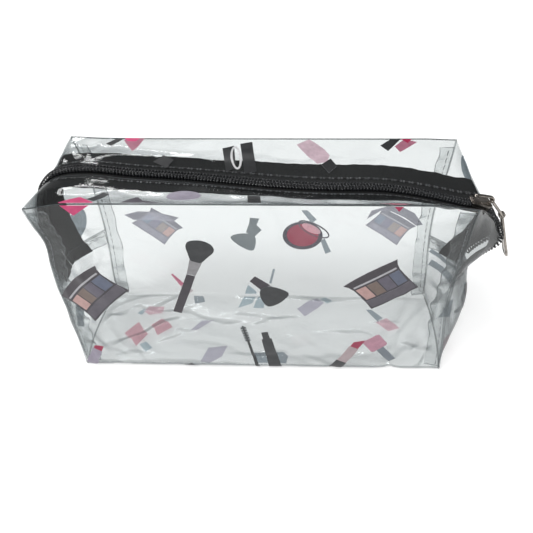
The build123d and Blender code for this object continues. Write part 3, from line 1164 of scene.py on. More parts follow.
def end_seam(side):
    """The seam between an end's two panels: its turned-in edge, its stitches and its ridges."""
    name = SIDE_NAMES[side]
    end = lower_ends[side]
    across = steps(-END_SPAN, END_SPAN, 0.05)
    down = steps(0.0, 1.0, 0.16)
    aa, dd = grid_of(across, down)
    wave = wavy(END_ALLOWANCE_SEED + side, 0.6)
    height = float(end.points[len(end.u) // 2, -1, 2])
    low = 1.0 - (0.4 + dd * (6.6 + wave(aa * 20))) / height
    depth = 0.8 + dd * (0.8 + wave(aa * 26)).clip(0, 1.8)
    band = sheet_shape(Surface(across, down, end.at(aa, low, -depth), -side), ALLOWANCE_SHEET)
    piece = band.build(f"{name}_end_allowance", [pvc_fold, pvc_edge], "clear_pvc")
    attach(piece, BAG)
    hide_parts(f"{name}_end_seam_allowance")
    threads = Shape()
    run = float(chord(end.points[:, -1])[-1])
    pitch = 2 * STITCH_PITCH / run
    count = int(END_STITCH_SPAN / pitch)
    level = np.full(STITCH_POINTS, 1.0 - STITCH_INSET / height)
    share, rise = stitch_path(0.4, 2 * STITCH_LENGTH / run, 0.1)
    for k in range(count):
        uu = (k - (count - 1) / 2) * pitch + share
        for shift, lift in ((0, rise), (pitch / 2, -THROUGH_DROP - rise)):
            threads.add(*tube(end.at(uu + shift, level, lift), 0.18, 6))
    thread = threads.build(f"{name}_end_stitches", [seam_thread], "seam_thread")
    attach(thread, BAG)
    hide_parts(f"{name}_end_seam_thread")
    ridges = Shape()
    for row in (0, -1):
        ridges.add(*tube(end.points[:, row], END_RIDGE, RIDGE_SIDES))
    ridge = ridges.build(f"{name}_end_ridges", [pvc_fold], "clear_pvc")
    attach(ridge, BAG)


for side, face in QUARTERS:
    corner_seam(side, face)
for side in (LEFT, RIGHT):
    end_seam(side)

# A thin ridge along each top fold, in the darker crease material: painted shade along the fold.
for face in (FRONT, BACK):
    fold = Shape()
    run = steps(-HALF_LENGTH, HALF_LENGTH, 2.0)
    line = body.at(run, np.full_like(run, face * TOP_V))
    fold.add(*tube(line, FOLD_RIDGE, RIDGE_SIDES))
    ridge = fold.build(f"{FACE_NAMES[face]}_top_fold_shade_line", [pvc_painted_crease_shade], "clear_pvc")
    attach(ridge, BAG)


# ---------------------------------------------------------------- the zip
COIL_PITCH = 1.5
COIL_CENTRE = 1.34
COIL_WIRE = 0.4
WIRE_SIDES = 6
TURN_POINTS = 12
PART_START = 104.5
PART_END = 112.0
PART_WIDTH = 2.6
COIL_OFFSET = 1.05
COIL_REACH = 1.5
COIL_RISE = 0.74
TAPE_EDGE = 0.5
TAPE_TUCK = 0.8
TAPE_SETTLE = 2.0
LINE_HEIGHT = 2.5
CHAIN_OFFSET = 1.75
CHAIN_RISE = 0.78
CHAIN_RIPPLE = 0.14


def parting(t, side):
    """How far each half of the open zip stands off the middle; only the right end is open."""
    share = smooth((t - PART_START) / (PART_END - PART_START))
    return PART_WIDTH * share if side == RIGHT else np.zeros_like(share)


def flattened(value, power):
    """A wave with flatter tops."""
    return np.sign(value) * np.abs(value) ** power


def tape_points(lines, strip, t, a):
    """Points of a tape: t runs along the zip and a is the distance out from its middle."""
    face = lines.face
    edge = lines.zip_at(t)
    flat = edge.copy()
    flat[..., 1] += face * np.minimum(a, SLOT_HALF)
    inner_t = np.minimum(t, lines.seam)
    edge_row = strip.at(inner_t, np.zeros_like(inner_t))
    fold_row = strip.at(inner_t, np.ones_like(inner_t))
    width = np.linalg.norm(fold_row - edge_row, axis=-1)
    share = ((a - SLOT_HALF) / width).clip(0.0, 1.0)
    under = strip.at(inner_t, share, np.full_like(share, -TAPE_DEPTH))
    past = np.maximum(t - lines.seam, 0.0)
    seam_point = lines.zip_at(np.full_like(t, lines.seam))
    shift = (lines.zip_at(t) - seam_point) * (past > 0)[..., None]
    tuck = np.array([lines.side * TAPE_TUCK, 0, 0]) * smooth(past / TAPE_SETTLE)[..., None]
    under = under + shift - tuck
    start = strip.at(inner_t, np.zeros_like(inner_t), np.full_like(inner_t, -TAPE_DEPTH)) + shift
    settle = smooth((a - SLOT_HALF) / TAPE_SETTLE)[..., None]
    outer = under + (edge * [1, 0, 1] + start * [0, 1, 0] - start) * (1 - settle)
    return np.where((a <= SLOT_HALF)[..., None], flat, outer)


def coil_path(lines, face, high):
    """One half of the coil: flattened loops that lock between the other half's."""
    turns = int(high / COIL_PITCH)
    phase = np.arange(turns * TURN_POINTS + 1) / TURN_POINTS
    shift = 0.0 if face == FRONT else COIL_PITCH / 2
    t = phase * COIL_PITCH + shift
    angle = phase * 2 * math.pi
    y = face * (COIL_OFFSET + COIL_REACH * flattened(np.cos(angle), 0.8) + parting(t, lines.side))
    z = COIL_CENTRE + COIL_RISE * flattened(np.sin(angle), 0.85)
    points = lines.zip_at(t) + lines.lift_at(t) * z[:, None]
    points[:, 1] += y
    return points


def zip_tape(side, face, lines, strip):
    """Half of one tape, with its free edge a little wavy and its open end spread."""
    t = steps(0.0, lines.end, GRID_STEP)
    a = steps(TAPE_EDGE, TAPE_HALVES[face], 0.9, [SLOT_HALF])
    tt, aa = grid_of(t, a)
    edge_wave = wavy(TAPE_EDGE_SEED + side * 3 + face, 0.25)
    aa = aa + (aa / TAPE_HALVES[face]) ** 6 * edge_wave(tt * 1.3)
    if side == RIGHT:
        past_edge = aa - TAPE_EDGE
        pushed = TAPE_EDGE + parting(tt, side) * (1 - past_edge / 6).clip(0, 1) + past_edge
        aa = np.maximum(aa, pushed)
    return Surface(t, a, tape_points(lines, strip, tt, aa), side * face)


def chain_path(lines, face, side):
    """The thread that runs along the top of the coil."""
    t = np.arange(0.0, lines.seam - 2.0, COIL_PITCH / 4)
    height = COIL_CENTRE + CHAIN_RISE + CHAIN_RIPPLE * np.cos(t * 2 * math.pi / COIL_PITCH)
    path = lines.zip_at(t) + lines.lift_at(t) * height[:, None]
    path[:, 1] += face * (CHAIN_OFFSET + parting(t, side))
    return path


def zip_half(side, face):
    """One face's half of the zip at one end: tape, coil, stitches and the rims of the needle holes."""
    side_name = SIDE_NAMES[side]
    face_name = FACE_NAMES[face]
    lines = zip_lines[side, face]
    strip = strips[side, face]
    tape = zip_tape(side, face, lines, strip)
    tape_shape = sheet_shape(tape, TAPE_THICKNESS, (0, 0, 0, 0))
    piece = tape_shape.build(f"{face_name}_tape_{side_name}", [tape_weave], "tape")
    blend_half(piece)
    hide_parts(f"{face_name}_zip_tape", f"{side_name}_end_tape_{face_name}")
    coil = Shape()
    coil.add(*tube(coil_path(lines, face, lines.seam - 2.0), COIL_WIRE, WIRE_SIDES))
    piece = coil.build(f"{face_name}_coil_{side_name}", [coil_nylon], "coil", 80.0)
    blend_half(piece)
    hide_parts(f"{face_name}_zip_coil", f"{side_name}_end_coil_{face_name}")
    threads = Shape()
    holes = Shape()
    width = float(np.linalg.norm(strip.points[10, -1] - strip.points[10, 0]))
    line_v = LINE_HEIGHT / width
    centres = [(k + 0.5) * STITCH_PITCH for k in range(int((lines.seam - 6.0) / STITCH_PITCH))]
    add_stitches(threads, strip, [(centre, line_v) for centre in centres], 0.5, 0.2, True)
    half = STITCH_LENGTH / 2
    spots = [(u, line_v, 1 / width) for centre in centres for u in (centre - half, centre + half)]
    add_holes(holes, strip, spots, SHEET / 2)
    threads.add(*tube(chain_path(lines, face, side), 0.1, 6))
    thread = threads.build(f"{face_name}_zip_stitches_{side_name}", [black_thread], "zip_thread")
    blend_half(thread)
    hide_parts(f"{face_name}_zip_thread")
    rims = holes.build(f"{face_name}_needle_rims_{side_name}", [pvc_edge], "clear_pvc")
    blend_half(rims)


for side, face in QUARTERS:
    zip_half(side, face)


# ---------------------------------------------------------------- slider and pull
SLIDER_TILT = math.radians(9.0)
SLIDER_ORIGIN = np.array([103.0, 0.0, 85.9])
ALONG = np.array([math.cos(SLIDER_TILT), 0, -math.sin(SLIDER_TILT)])
UP = np.array([math.sin(SLIDER_TILT), 0, math.cos(SLIDER_TILT)])
ACROSS = np.array([0.0, 1.0, 0.0])


def closed_curve(points, per=8):
    """A smooth closed line through points."""
    points = np.asarray(points, float)
    count = len(points)
    ring = np.concatenate([points[-3:], points, points[:4]])
    stops = np.arange(len(ring)) - 3.0
    return through(stops, ring, np.arange(0, count, 1 / per))


UNSPLIT = 1e9


def slab(shape, outline, low, high, origin, axes, rounding=0.2, slot=0):
    """A plate with softly rounded edges: an outline in two axes, between two heights on the third."""
    order = np.asarray(outline, float)
    area = np.sum(order[:, 0] * np.roll(order[:, 1], -1) - order[:, 1] * np.roll(order[:, 0], -1))
    if area < 0:
        order = order[::-1]
    ahead = unit(np.roll(order, -1, axis=0) - order)
    before = unit(order - np.roll(order, 1, axis=0))
    out_a = np.stack([ahead[:, 1], -ahead[:, 0]], axis=-1)
    out_b = np.stack([before[:, 1], -before[:, 0]], axis=-1)
    out = unit(out_a + out_b)
    turns = np.linspace(0, math.pi / 2, 4)[::-1]
    levels = [(low + rounding * (1 - math.sin(a)), rounding * (1 - math.cos(a))) for a in turns]
    uppers = [(low + high - z, inset) for z, inset in levels][::-1]
    rings = []
    for z, inset in levels + uppers:
        ring = order - out * inset
        rings.append(np.column_stack([ring, np.full(len(ring), z)]))
    points = np.concatenate(rings)
    count = len(order)
    right_handed = float(np.cross(axes[0], axes[1]) @ axes[2]) > 0
    quads = bands(len(rings), count)
    match, cap = filled(order, UNSPLIT)
    lookup = [int(np.argmin(np.linalg.norm(order - p, axis=1))) for p in match]
    top = [tuple(lookup[i] + (len(rings) - 1) * count for i in face) for face in cap]
    bottom = [tuple(lookup[i] for i in face[::-1]) for face in cap]
    faces = quads + top + bottom
    if not right_handed:
        faces = [face[::-1] for face in faces]
    shape.add(origin + points @ np.array(axes), faces, slot)


SLIDER_AXES = (ALONG, ACROSS, UP)
PLATE_OUTLINE = [
    (-5.0, 0.0), (-4.9, -2.4), (-4.3, -3.3), (-2.0, -3.55), (1.0, -3.85), (3.4, -4.2),
    (4.6, -3.8), (5.0, -2.6), (4.9, -1.2), (4.55, 0.0), (4.9, 1.2), (5.0, 2.6), (4.6, 3.8),
    (3.4, 4.2), (1.0, 3.85), (-2.0, 3.55), (-4.3, 3.3), (-4.9, 2.4),
]
CHANNEL_LOW = -0.8
CHANNEL_HIGH = 2.6
PLATE = 0.7


def flange(side, width=0.62):
    """The outline of a slider's side wall."""
    outer = [(-4.3, 3.3), (-2.0, 3.55), (1.0, 3.85), (3.3, 4.18)]
    inner = [(x, y - width) for x, y in outer]
    line = outer + inner[::-1]
    return [(x, y * side) for x, y in line]


def mirrored(outline):
    """The same outline on the other side of the middle."""
    return [(x, -y) for x, y in outline]


def add_plate(shape, outline, low, high, rounding, axes=SLIDER_AXES):
    """A plate of the slider, in the slider's own axes."""
    slab(shape, outline, low, high, SLIDER_ORIGIN, axes, rounding)


POST = closed_curve([(1.4, 0), (2.4, -0.85), (3.6, -0.95), (4.35, 0), (3.6, 0.95), (2.4, 0.85)], 4)
TOP_FACE = CHANNEL_HIGH + PLATE
SINK = 0.1


def make_slider():
    """Two plates, two side walls with the channel between them, the post and the ribs."""
    slider = Shape()
    plate_line = closed_curve(PLATE_OUTLINE, 4)
    add_plate(slider, plate_line, CHANNEL_HIGH, TOP_FACE, 0.28)
    add_plate(slider, plate_line, CHANNEL_LOW - PLATE, CHANNEL_LOW, 0.28)
    for side in (LEFT, RIGHT):
        add_plate(slider, flange(side), 0.6, CHANNEL_HIGH + 0.2, 0.15)
        add_plate(slider, flange(side), CHANNEL_LOW - 0.2, -0.6, 0.08)
    add_plate(slider, POST, CHANNEL_LOW - 0.2, CHANNEL_HIGH + 0.2, 0.05)
    for x in (-2.6, 0.0, 2.6):
        rib = [(x - 0.35, -3.0), (x + 0.35, -3.0), (x + 0.35, -2.0), (x - 0.35, -2.0)]
        add_plate(slider, rib, TOP_FACE - SINK, TOP_FACE + 0.2, 0.1)
        add_plate(slider, mirrored(rib), TOP_FACE - SINK, TOP_FACE + 0.2, 0.1)
    piece = slider.build("slider_case", [nickel], "metal")
    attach(piece, "slider")
    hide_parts("slider_body")


make_slider()


def ribbon_outline(path, thickness):
    """A flat band's side outline about a smooth path."""
    path = np.asarray(path, float)
    along = unit(np.gradient(path, axis=0))
    out = np.stack([-along[:, 1], along[:, 0]], axis=-1) * thickness / 2
    return np.concatenate([path + out, (path - out)[::-1]])


BAIL_PATH = [
    (-3.9, 3.2), (-4.0, 4.2), (-3.6, 5.2), (-2.6, 5.9), (-0.8, 6.05), (2.0, 6.05), (4.5, 5.9),
    (5.5, 5.2), (5.7, 4.3), (5.2, 3.6), (4.4, 3.2),
]
bail_curve = through(np.arange(len(BAIL_PATH)), BAIL_PATH, np.linspace(0, len(BAIL_PATH) - 1, 44))


def make_bail():
    """The bridge over the slider that holds the pull, with its two feet."""
    bail = Shape()
    add_plate(bail, ribbon_outline(bail_curve, 0.75), -0.9, 0.9, 0.22, (ALONG, UP, ACROSS))
    for x in (-3.9, 4.2):
        foot = closed_curve([(x - 0.9, 0), (x, -1.2), (x + 0.9, 0), (x, 1.2)], 5)
        add_plate(bail, foot, TOP_FACE - SINK, TOP_FACE + 0.35, 0.2)
    piece = bail.build("slider_bridge", [nickel], "metal")
    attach(piece, "slider")
    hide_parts("slider_bail")


make_bail()

# The link is a closed loop of wire, and the tab hangs on its far bar.
link_run = TAB_PIVOT - LINK_PIVOT
LINK_REACH = float(np.linalg.norm(link_run))
link_along = link_run / LINK_REACH
LINK_WIRE = 0.56
link_ring = closed_curve(
    [
        (0, 0), (0.05, -1.3), (0.7, -1.95), (LINK_REACH * 0.5, -2.0), (LINK_REACH - 0.7, -1.95),
        (LINK_REACH - 0.05, -1.3), (LINK_REACH, 0), (LINK_REACH - 0.05, 1.3), (LINK_REACH - 0.7, 1.95),
        (LINK_REACH * 0.5, 2.0), (0.7, 1.95), (0.05, 1.3),
    ],
    6,
)


def make_link():
    """The loop of wire between the bridge and the tab."""
    link = Shape()
    ring_points = LINK_PIVOT + link_ring[:, :1] * link_along + link_ring[:, 1:] * ACROSS
    link.add(*tube(ring_points, LINK_WIRE, 12, closed=True))
    piece = link.build("pull_ring", [nickel], "metal", 60.0)
    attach(piece, "link")
    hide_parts("pull_link")


make_link()

TAB_ANGLE = math.radians(-71.2)
TAB_HALF_THICKNESS = 0.42
EYE_RADIUS = 1.12
tab_along = np.array([math.cos(TAB_ANGLE), 0, math.sin(TAB_ANGLE)])
tab_out = np.array([-math.sin(TAB_ANGLE), 0, math.cos(TAB_ANGLE)])
TAB_AXES = (tab_along, ACROSS, tab_out)
tab_line = closed_curve(
    [
        (1.3, -1.35), (3.2, -1.45), (8.0, -1.75), (14.0, -2.25), (20.0, -2.9), (23.6, -3.1),
        (25.4, -2.0), (26.0, 0.0), (25.4, 2.0), (23.6, 3.1), (20.0, 2.9), (14.0, 2.25),
        (8.0, 1.75), (3.2, 1.45), (1.3, 1.35), (1.15, 0.0),
    ],
    5,
)


def make_tab():
    """The tab, with a raised rim on both faces and its eye."""
    tab = Shape()
    slab(tab, tab_line, -TAB_HALF_THICKNESS, TAB_HALF_THICKNESS, TAB_PIVOT, TAB_AXES, 0.2)
    middle = np.array([13.5, 0.0])
    inner_line = middle + (tab_line - middle) * [0.93, 0.78]
    for level in (-TAB_HALF_THICKNESS, TAB_HALF_THICKNESS):
        rim = TAB_PIVOT + inner_line[:, :1] * tab_along + inner_line[:, 1:] * ACROSS + level * tab_out
        tab.add(*tube(rim, 0.2, 8, closed=True))
    eye_turn = np.linspace(0, 2 * math.pi, 28, endpoint=False)[:, None]
    for y in np.linspace(-0.85, 0.85, 3):
        eye = TAB_PIVOT + np.cos(eye_turn) * EYE_RADIUS * tab_along + np.sin(eye_turn) * EYE_RADIUS * tab_out
        tab.add(*tube(eye + y * ACROSS, 0.46, 10, closed=True))
    piece = tab.build("pull_blade", [nickel], "metal", 50.0)
    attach(piece, "tab")
    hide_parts("pull_tab")


make_tab()


# ---------------------------------------------------------------- printed pictures
def quad(corners, cell):
    """A four-cornered piece of a four-cornered picture. Corners go round it."""
    a, b, c, d = (np.array(p, float) for p in corners)
    return np.array([mix(mix(a, b, u), mix(d, c, u), v) for u, v in cell])


RING_GAP = 0.03


def block(u0, u1, v0, v1):
    """A rectangle inside a four-cornered picture."""
    return [(u0, v0), (u1, v0), (u1, v1), (u0, v1)]


def palette(hinge_a, hinge_b, far_b, far_a):
    """An open eyeshadow case: lid edge, mirror strip, four pans and a side band."""
    corners = (hinge_a, hinge_b, far_b, far_a)
    case = [
        (0, 0), (0.25, -0.03), (0.5, -0.04), (0.75, -0.03), (1, 0), (0.955, 0.12), (0.935, 0.26),
        (0.945, 0.5), (0.965, 0.75), (1, 1), (0.5, 0.985), (0, 1), (0.035, 0.75), (0.055, 0.5),
        (0.065, 0.26), (0.045, 0.12),
    ]
    cells = [(case, "plum", 0), (block(0.1, 0.9, 0.17, 0.215), "mirror", 1)]
    for k, name in enumerate(("skin", "brown", "violet", "blue")):
        start = 0.095 + k * 0.21
        cells.append((block(start, start + 0.185, 0.27, 0.66), name, 1))
    cells.append((block(0.05, 0.95, 0.71, 0.95), "band", 1))
    return [(quad(corners, cell), name, layer) for cell, name, layer in cells]


def ruler(start, end):
    """A line's start, its run to its end and a unit step off it."""
    start, end = np.array(start, float), np.array(end, float)
    run = end - start
    return start, run, np.array([-run[1], run[0]]) / np.linalg.norm(run)


def stick(start, end, pieces):
    """Straight lengths along a line: each has its share of it, its two widths, its ink and its layer."""
    start, run, side = ruler(start, end)
    side = side / 2
    parts = []
    for low, high, width_low, width_high, name, layer in pieces:
        a, b = start + run * low, start + run * high
        shape = [a + side * width_low, b + side * width_high, b - side * width_high, a - side * width_low]
        parts.append((np.array(shape), name, layer))
    return parts


def blob(start, end, outline, name, layer):
    """A rounded shape on a line: outline points are a share along it and a distance off it."""
    start, run, side = ruler(start, end)
    points = [start + run * share + side * off for share, off in outline]
    return [(closed_curve(points, 4), name, layer)]


def pebble(points, name, layer):
    """A piece with a smooth edge through its points."""
    return [(closed_curve(points, 4), name, layer)]


def drawn(*rows):
    """Pieces drawn straight from their corners: each has its ink, its layer and its corners."""
    return [(np.array(points, float), name, layer) for name, layer, points in rows]


def oval(centre, radius_a, radius_b, turn, angle):
    """Points of an oval at some angles, with its long axis turned by a number of degrees."""
    c, s = math.cos(math.radians(turn)), math.sin(math.radians(turn))
    x = radius_a * np.cos(angle)
    y = radius_b * np.sin(angle)
    return np.stack([centre[0] + c * x - s * y, centre[1] + s * x + c * y], axis=-1)


def ring(centre, radius_a, radius_b, turn, width, name, layer):
    """A thin oval frame."""
    angle = np.linspace(RING_GAP, 2 * math.pi - RING_GAP, 32)
    outer = oval(centre, radius_a, radius_b, turn, angle)
    inner = oval(centre, radius_a - width, radius_b - width, turn, angle)
    return [(np.concatenate([outer, inner[::-1]]), name, layer)]


def disc(centre, radius_a, radius_b, turn, name, layer):
    """A filled oval."""
    angle = np.linspace(0, 2 * math.pi, 28, endpoint=False)
    return [(oval(centre, radius_a, radius_b, turn, angle), name, layer)]


def brush(start, end, width):
    """A fan brush: handle, ferrule and rounded head."""
    parts = stick(start, end, [(0, 0.56, 3.9, 4.1, "plum", 0), (0.565, 0.76, 4.1, 5.9, "ferrule", 0)])
    head = [
        (0.74, 0), (0.75, 2.5), (0.82, width * 0.38), (0.9, width * 0.53), (0.96, width * 0.45),
        (1.0, width * 0.08), (0.995, -width * 0.25), (0.955, -width * 0.46), (0.9, -width * 0.5),
        (0.82, -width * 0.36), (0.75, -2.5),
    ]
    return parts + blob(start, end, head, "black", 1)


def wand(start, end):
    """A mascara wand: bristled top and thin stem."""
    bristles = [(0.03 + k * 0.055, 0.065 + k * 0.055, 2.9, 2.9, "black", 1) for k in range(6)]
    return stick(start, end, [(0.0, 1.0, 1.0, 1.9, "black", 0), *bristles])


def polish(centre, size, turn, body_ink, cap_ink, cap_length):
    """A nail polish bottle: rounded square body and a straight cap."""
    angle = math.radians(turn)
    along = np.array([math.cos(angle), math.sin(angle)])
    side = np.array([-along[1], along[0]])
    half = size / 2
    short = half * 0.8
    corner = [
        (-half, -short), (-half, short), (-short, half), (short, half),
        (half, short), (half, -short), (short, -half), (-short, -half),
    ]
    centre = np.array(centre, float)
    shape = np.array([centre + along * a + side * b for a, b in corner])
    cap_from = centre + along * half
    cap = stick(cap_from, cap_from + along * cap_length, [(0, 1, size * 0.42, size * 0.42, cap_ink, 1)])
    return [(shape, body_ink, 0)] + cap


def lipstick(start, end, width, tube_ink="flesh", base="black"):
    """An open lipstick, from its base to its slanted tip."""
    base_width = width * 1.1
    lengths = [(0, 0.3, base_width, base_width, base, 0), (0.3, 0.74, width, width, tube_ink, 0)]
    parts = stick(start, end, lengths)
    start, run, side = ruler(start, end)
    side = side * width * 0.42
    a, b = start + run * 0.74, start + run
    parts.append((np.array([a + side, start + run * 0.86 + side, b - side, a - side]), "lip", 0))
    return parts


def clip(outline, level, above):
    """The part of an outline on one side of a level of its second coordinate."""
    sign = 1.0 if above else -1.0
    kept = []
    outline = [np.array(p, float) for p in outline]
    for a, b in zip(outline, outline[1:] + outline[:1]):
        high_a, high_b = sign * (a[1] - level), sign * (b[1] - level)
        if high_a >= 0:
            kept.append(a)
        if (high_a >= 0) != (high_b >= 0):
            kept.append(mix(a, b, high_a / (high_a - high_b)))
    return np.array(kept)


front_prints = (
    palette((-94.5, 44.5), (-72, 70), (-59, 56.5), (-81, 32))
    + palette((39, 60.5), (62, 77), (75, 57.5), (54, 46))
    + brush((-40.2, 42.5), (-24.5, 87), 12.2)
    + drawn(
        ("plum", 0, [(-4.5, 63.5), (-2, 66.5), (5, 61), (1.5, 57)]),
        ("ferrule", 0, [(3.5, 61), (6, 60.5), (4, 57), (2, 57.5)]),
    )
    + pebble([(0.5, 58), (5.5, 60), (13.8, 56), (10.2, 50), (4.2, 47), (0.8, 52)], "black", 1)
    + wand((-9, 33), (-1.5, 0))
    + stick((2, 28.5), (8, 0), [(0, 0.17, 3.4, 3.6, "black", 0), (0.17, 1.0, 5.2, 6.8, "black", 0)])
    + lipstick((38.5, 0.5), (51.5, 25), 5.6)
    + polish((58.8, 21.5), 9.8, -53, "rose", "slate", 13)
    + lipstick((-92.5, 2), (-84, 15.5), 5.0, "lilac", "lilac")
    + drawn(("black", 0, [(-42, 0.5), (-33.5, 0.5), (-37.5, 4.5)]))
)
LEFT_LID_EDGE = [(-82, 59.5), (-73.5, 61.5), (-62.5, 61), (-48.5, 57), (-52, 54.5), (-65, 56), (-77, 56)]
RIGHT_LID_EDGE = [
    (58.5, 57), (60.5, 62.5), (69, 65.5), (77.5, 65.5), (85, 62), (90.5, 55.5),
    (87, 54.5), (80, 59), (72, 62.5), (66, 63), (61, 59),
]
back_prints = (
    palette((-46.5, 50), (-64.5, 64), (-79, 54), (-60.5, 38))
    + drawn(("band", 3, LEFT_LID_EDGE))
    + palette((87, 54), (66, 64.5), (58, 53), (77.5, 40.5))
    + drawn(("band", 3, RIGHT_LID_EDGE))
    + pebble([(-19, 43), (-13.5, 46), (-5, 44.5), (-6, 34), (-13, 36.5)], "black", 0)
    + drawn(
        ("black", 1, [(-10, 47), (-8, 53), (-7.5, 57), (-2.2, 56.5), (-3.8, 52), (-1, 48.5), (-5, 44)]),
    )
    + disc((22.3, 45.2), 11.4, 9.8, 0, "frame", 0)
    + disc((22.3, 45.6), 9.0, 7.8, 0, "red", 1)
    + disc((27, 50.4), 6.0, 2.4, -30, "dusty", 2)
    + ring((28.5, 49.8), 10.2, 3.9, -30, 0.8, "frame", 3)
    + drawn(
        ("slate", 0, [(21, 62.5), (24.3, 62.7), (29.8, 56.5), (27, 54)]),
        ("slate", 0, [(32.5, 42.3), (35, 43.5), (39.2, 34), (36, 32.4)]),
    )
    + stick((-58, 15.5), (-51.5, 6.5), [(0, 1, 1.2, 3.6, "lip", 0)])
    + stick((-51.5, 6.5), (-46.5, 0.6), [(0, 1, 4.6, 4.8, "flesh", 0)])
    + drawn(("ice", 0, [(-10, 7), (-4.8, 1.6), (-5, 0.6), (-12, 0.6)]))
    + stick((6, 20), (3.8, 8.5), [(0, 1, 1.4, 1.4, "slate", 0)])
)
base_prints = drawn(
    ("dusty", 0, [(-78.5, -5.5), (-72.5, 3.5), (-64.5, -8), (-70, -15.5)]),
    ("ice", 1, [(-68.3, -14.2), (-65, -12), (-61, -16.5), (-64.3, -19.6)]),
    ("dusty", 0, [(-65, 1), (-59.5, 6.5), (-52, -1.5), (-59.5, -7.5)]),
    ("rose", 0, [(-71.5, 11.5), (-69.5, 16.5), (-60, 15), (-60, 9), (-67.5, 8.5)]),
    ("ice", 0, [(-75, 10), (-72, 14), (-70, 12.5), (-72, 9)]),
    ("lilac", 0, [(-41.5, -3), (-35.5, 4), (-28.5, 4.5), (-38.5, -3.5)]),
    ("lilac", 0, [(-33.5, -25.5), (-30, -16), (-19.5, -14.5), (-22, -22), (-28.5, -26.5)]),
    ("lilac", 0, [(20, 15.5), (32.5, 25), (36.5, 19.5), (24.5, 9)]),
    ("ice", 0, [(34.5, 24.5), (37.5, 26.4), (41.5, 22.5), (38, 19)]),
    ("slate", 0, [(59.5, 15.5), (62.5, 15.5), (68, 9), (65, 5.5)]),
    ("rose", 0, [(63.5, 5), (70, 9), (76, 1), (70, -1.5)]),
    ("slate", 0, [(-5.5, -19), (12, -18.5), (14.5, -21.5), (13.5, -26.4), (-3, -26.4)]),
    ("slate", 0, [(-44, 26), (-38, 26), (-36, 21), (-42, 19)]),
    ("ice", 0, [(-12.5, 26.2), (-5.2, 26.2), (-7, 20), (-15.5, 16)]),
    ("ice", 0, [(-3.7, 26.2), (1.1, 26.2), (0, 16), (-6.3, 16)]),
)
# On the strips the second number is the distance from the fold towards the zip, less than 0 on the panel.
front_fold_prints = (
    drawn(
        ("pink", 0, [(-80, 0.8), (-74, 6.6), (-66.5, 0.8), (-75.5, -6)]),
        ("black", 1, [(-70.5, 4), (-66, 10.6), (-63, 9), (-66.6, 1.6)]),
        ("crimson", 0, [(52.5, 6), (67, 6), (60, -2.8)]),
    )
    + disc((-32.3, 9.5), 7.4, 4.8, 0, "lilac", 0)
    + drawn(
        ("jet", 0, [(-5, 13), (0.6, 12), (1.5, 1.2), (-4.2, 1.5)]),
        ("band", 0, [(-56, 0.4), (-51.3, 8), (-47.5, 2.6), (-39.5, 0.4)]),
        ("slate", 0, [(18, 0.6), (26, 3.6), (32, 0.6)]),
    )
)
back_fold_prints = (
    drawn(
        ("jet", 0, [(-76.5, 5), (-71.2, 0.4), (-67.6, 0.4), (-73.5, 6.6)]),
        ("dusty", 0, [(-68, 2), (-66, 0.4), (-58, 0.4), (-62.4, 11.5)]),
        ("pink", 1, [(-68.5, -0.5), (-59.5, -0.5), (-62, 2.8), (-66, 2.8)]),
        ("jet", 0, [(-51.2, 19), (-47, 13.5), (-41.8, 16.8), (-44.2, 22.8)]),
        ("jet", 0, [(-19.3, 6), (-13.6, 4.3), (-11.9, 19.6), (-16.5, 22.5)]),
        ("jet", 0, [(-10.6, 3.4), (-4.7, 2.2), (-2, 21), (-7.7, 22.6)]),
    )
    + ring((-12.2, 12.6), 2.7, 8.0, -8, 1.1, "white", 1)
    + drawn(
        ("pale", 0, [(17.2, 3.6), (23.4, 0.6), (31, 5.6), (33.3, 9.5), (32, 13.4), (27, 14.7)]),
        ("jet", 1, [(29, 15), (33.6, 11.5), (36.5, 15.8), (32.5, 19.6)]),
        ("jet", 0, [(57.8, 3.8), (63, 0.4), (67.7, 0.4), (61.5, 6.5)]),
        ("dusty", 0, [(64.7, 4.1), (69.5, 0.4), (75.6, 1.7), (67.2, 6.8)]),
        ("crimson", 1, [(66.5, -0.6), (74, -0.6), (71, 2.4)]),
    )
)


def on_wall(face):
    """Places on the front or the back panel from x and the height."""

    def where(flat):
        return flat[:, 0], wall_v(flat[:, 1], face)

    return where


def on_base(flat):
    """Places on the base, seen from above."""
    return flat[:, 0], flat[:, 1]


def near_fold(face):
    """Places on a panel just below its fold."""

    def where(flat):
        return flat[:, 0], face * (TOP_V + flat[:, 1])

    return where


def on_strip(side, face):
    """Places on a strip from x and the distance from its fold."""
    width = HALF_DEPTH - SLOT_HALF

    def where(flat):
        lines = zip_lines[side, face]
        t = np.interp(flat[:, 0] * side, lines.zip[:, 0] * side, lines.stops)
        return t, 1.0 - flat[:, 1] / width

    return where


class Prints:
    """The pictures of one sheet, gathered with the inks that they use."""

    def __init__(self, faded):
        self.shape = Shape()
        self.faded = faded
        self.inks = []

    def slot(self, name, faded):
        material = ink(name, faded)
        if material not in self.inks:
            self.inks.append(material)
        return self.inks.index(material)

    def add(self, surface, where, parts):
        for outline, name, layer in parts:
            if len(outline) < 3:
                continue
            slots = (self.slot(name, 0.0), self.slot(name, self.faded))
            add_patch(self.shape, surface, where, outline, layer, slots)

    def build(self, name):
        return self.shape.build(name, self.inks, "clear_pvc")


FOLD_GAP = 0.3
panel_prints = Prints(UNDERPRINT)
panel_prints.add(body, on_wall(FRONT), front_prints)
panel_prints.add(body, on_wall(BACK), back_prints)
panel_prints.add(body, on_base, base_prints)
fold_prints = {FRONT: front_fold_prints, BACK: back_fold_prints}
for face, parts in fold_prints.items():
    clipped = [(clip(outline, -FOLD_GAP, False), name, layer) for outline, name, layer in parts]
    panel_prints.add(body, near_fold(face), clipped)
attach(panel_prints.build("panel_prints"), BAG)

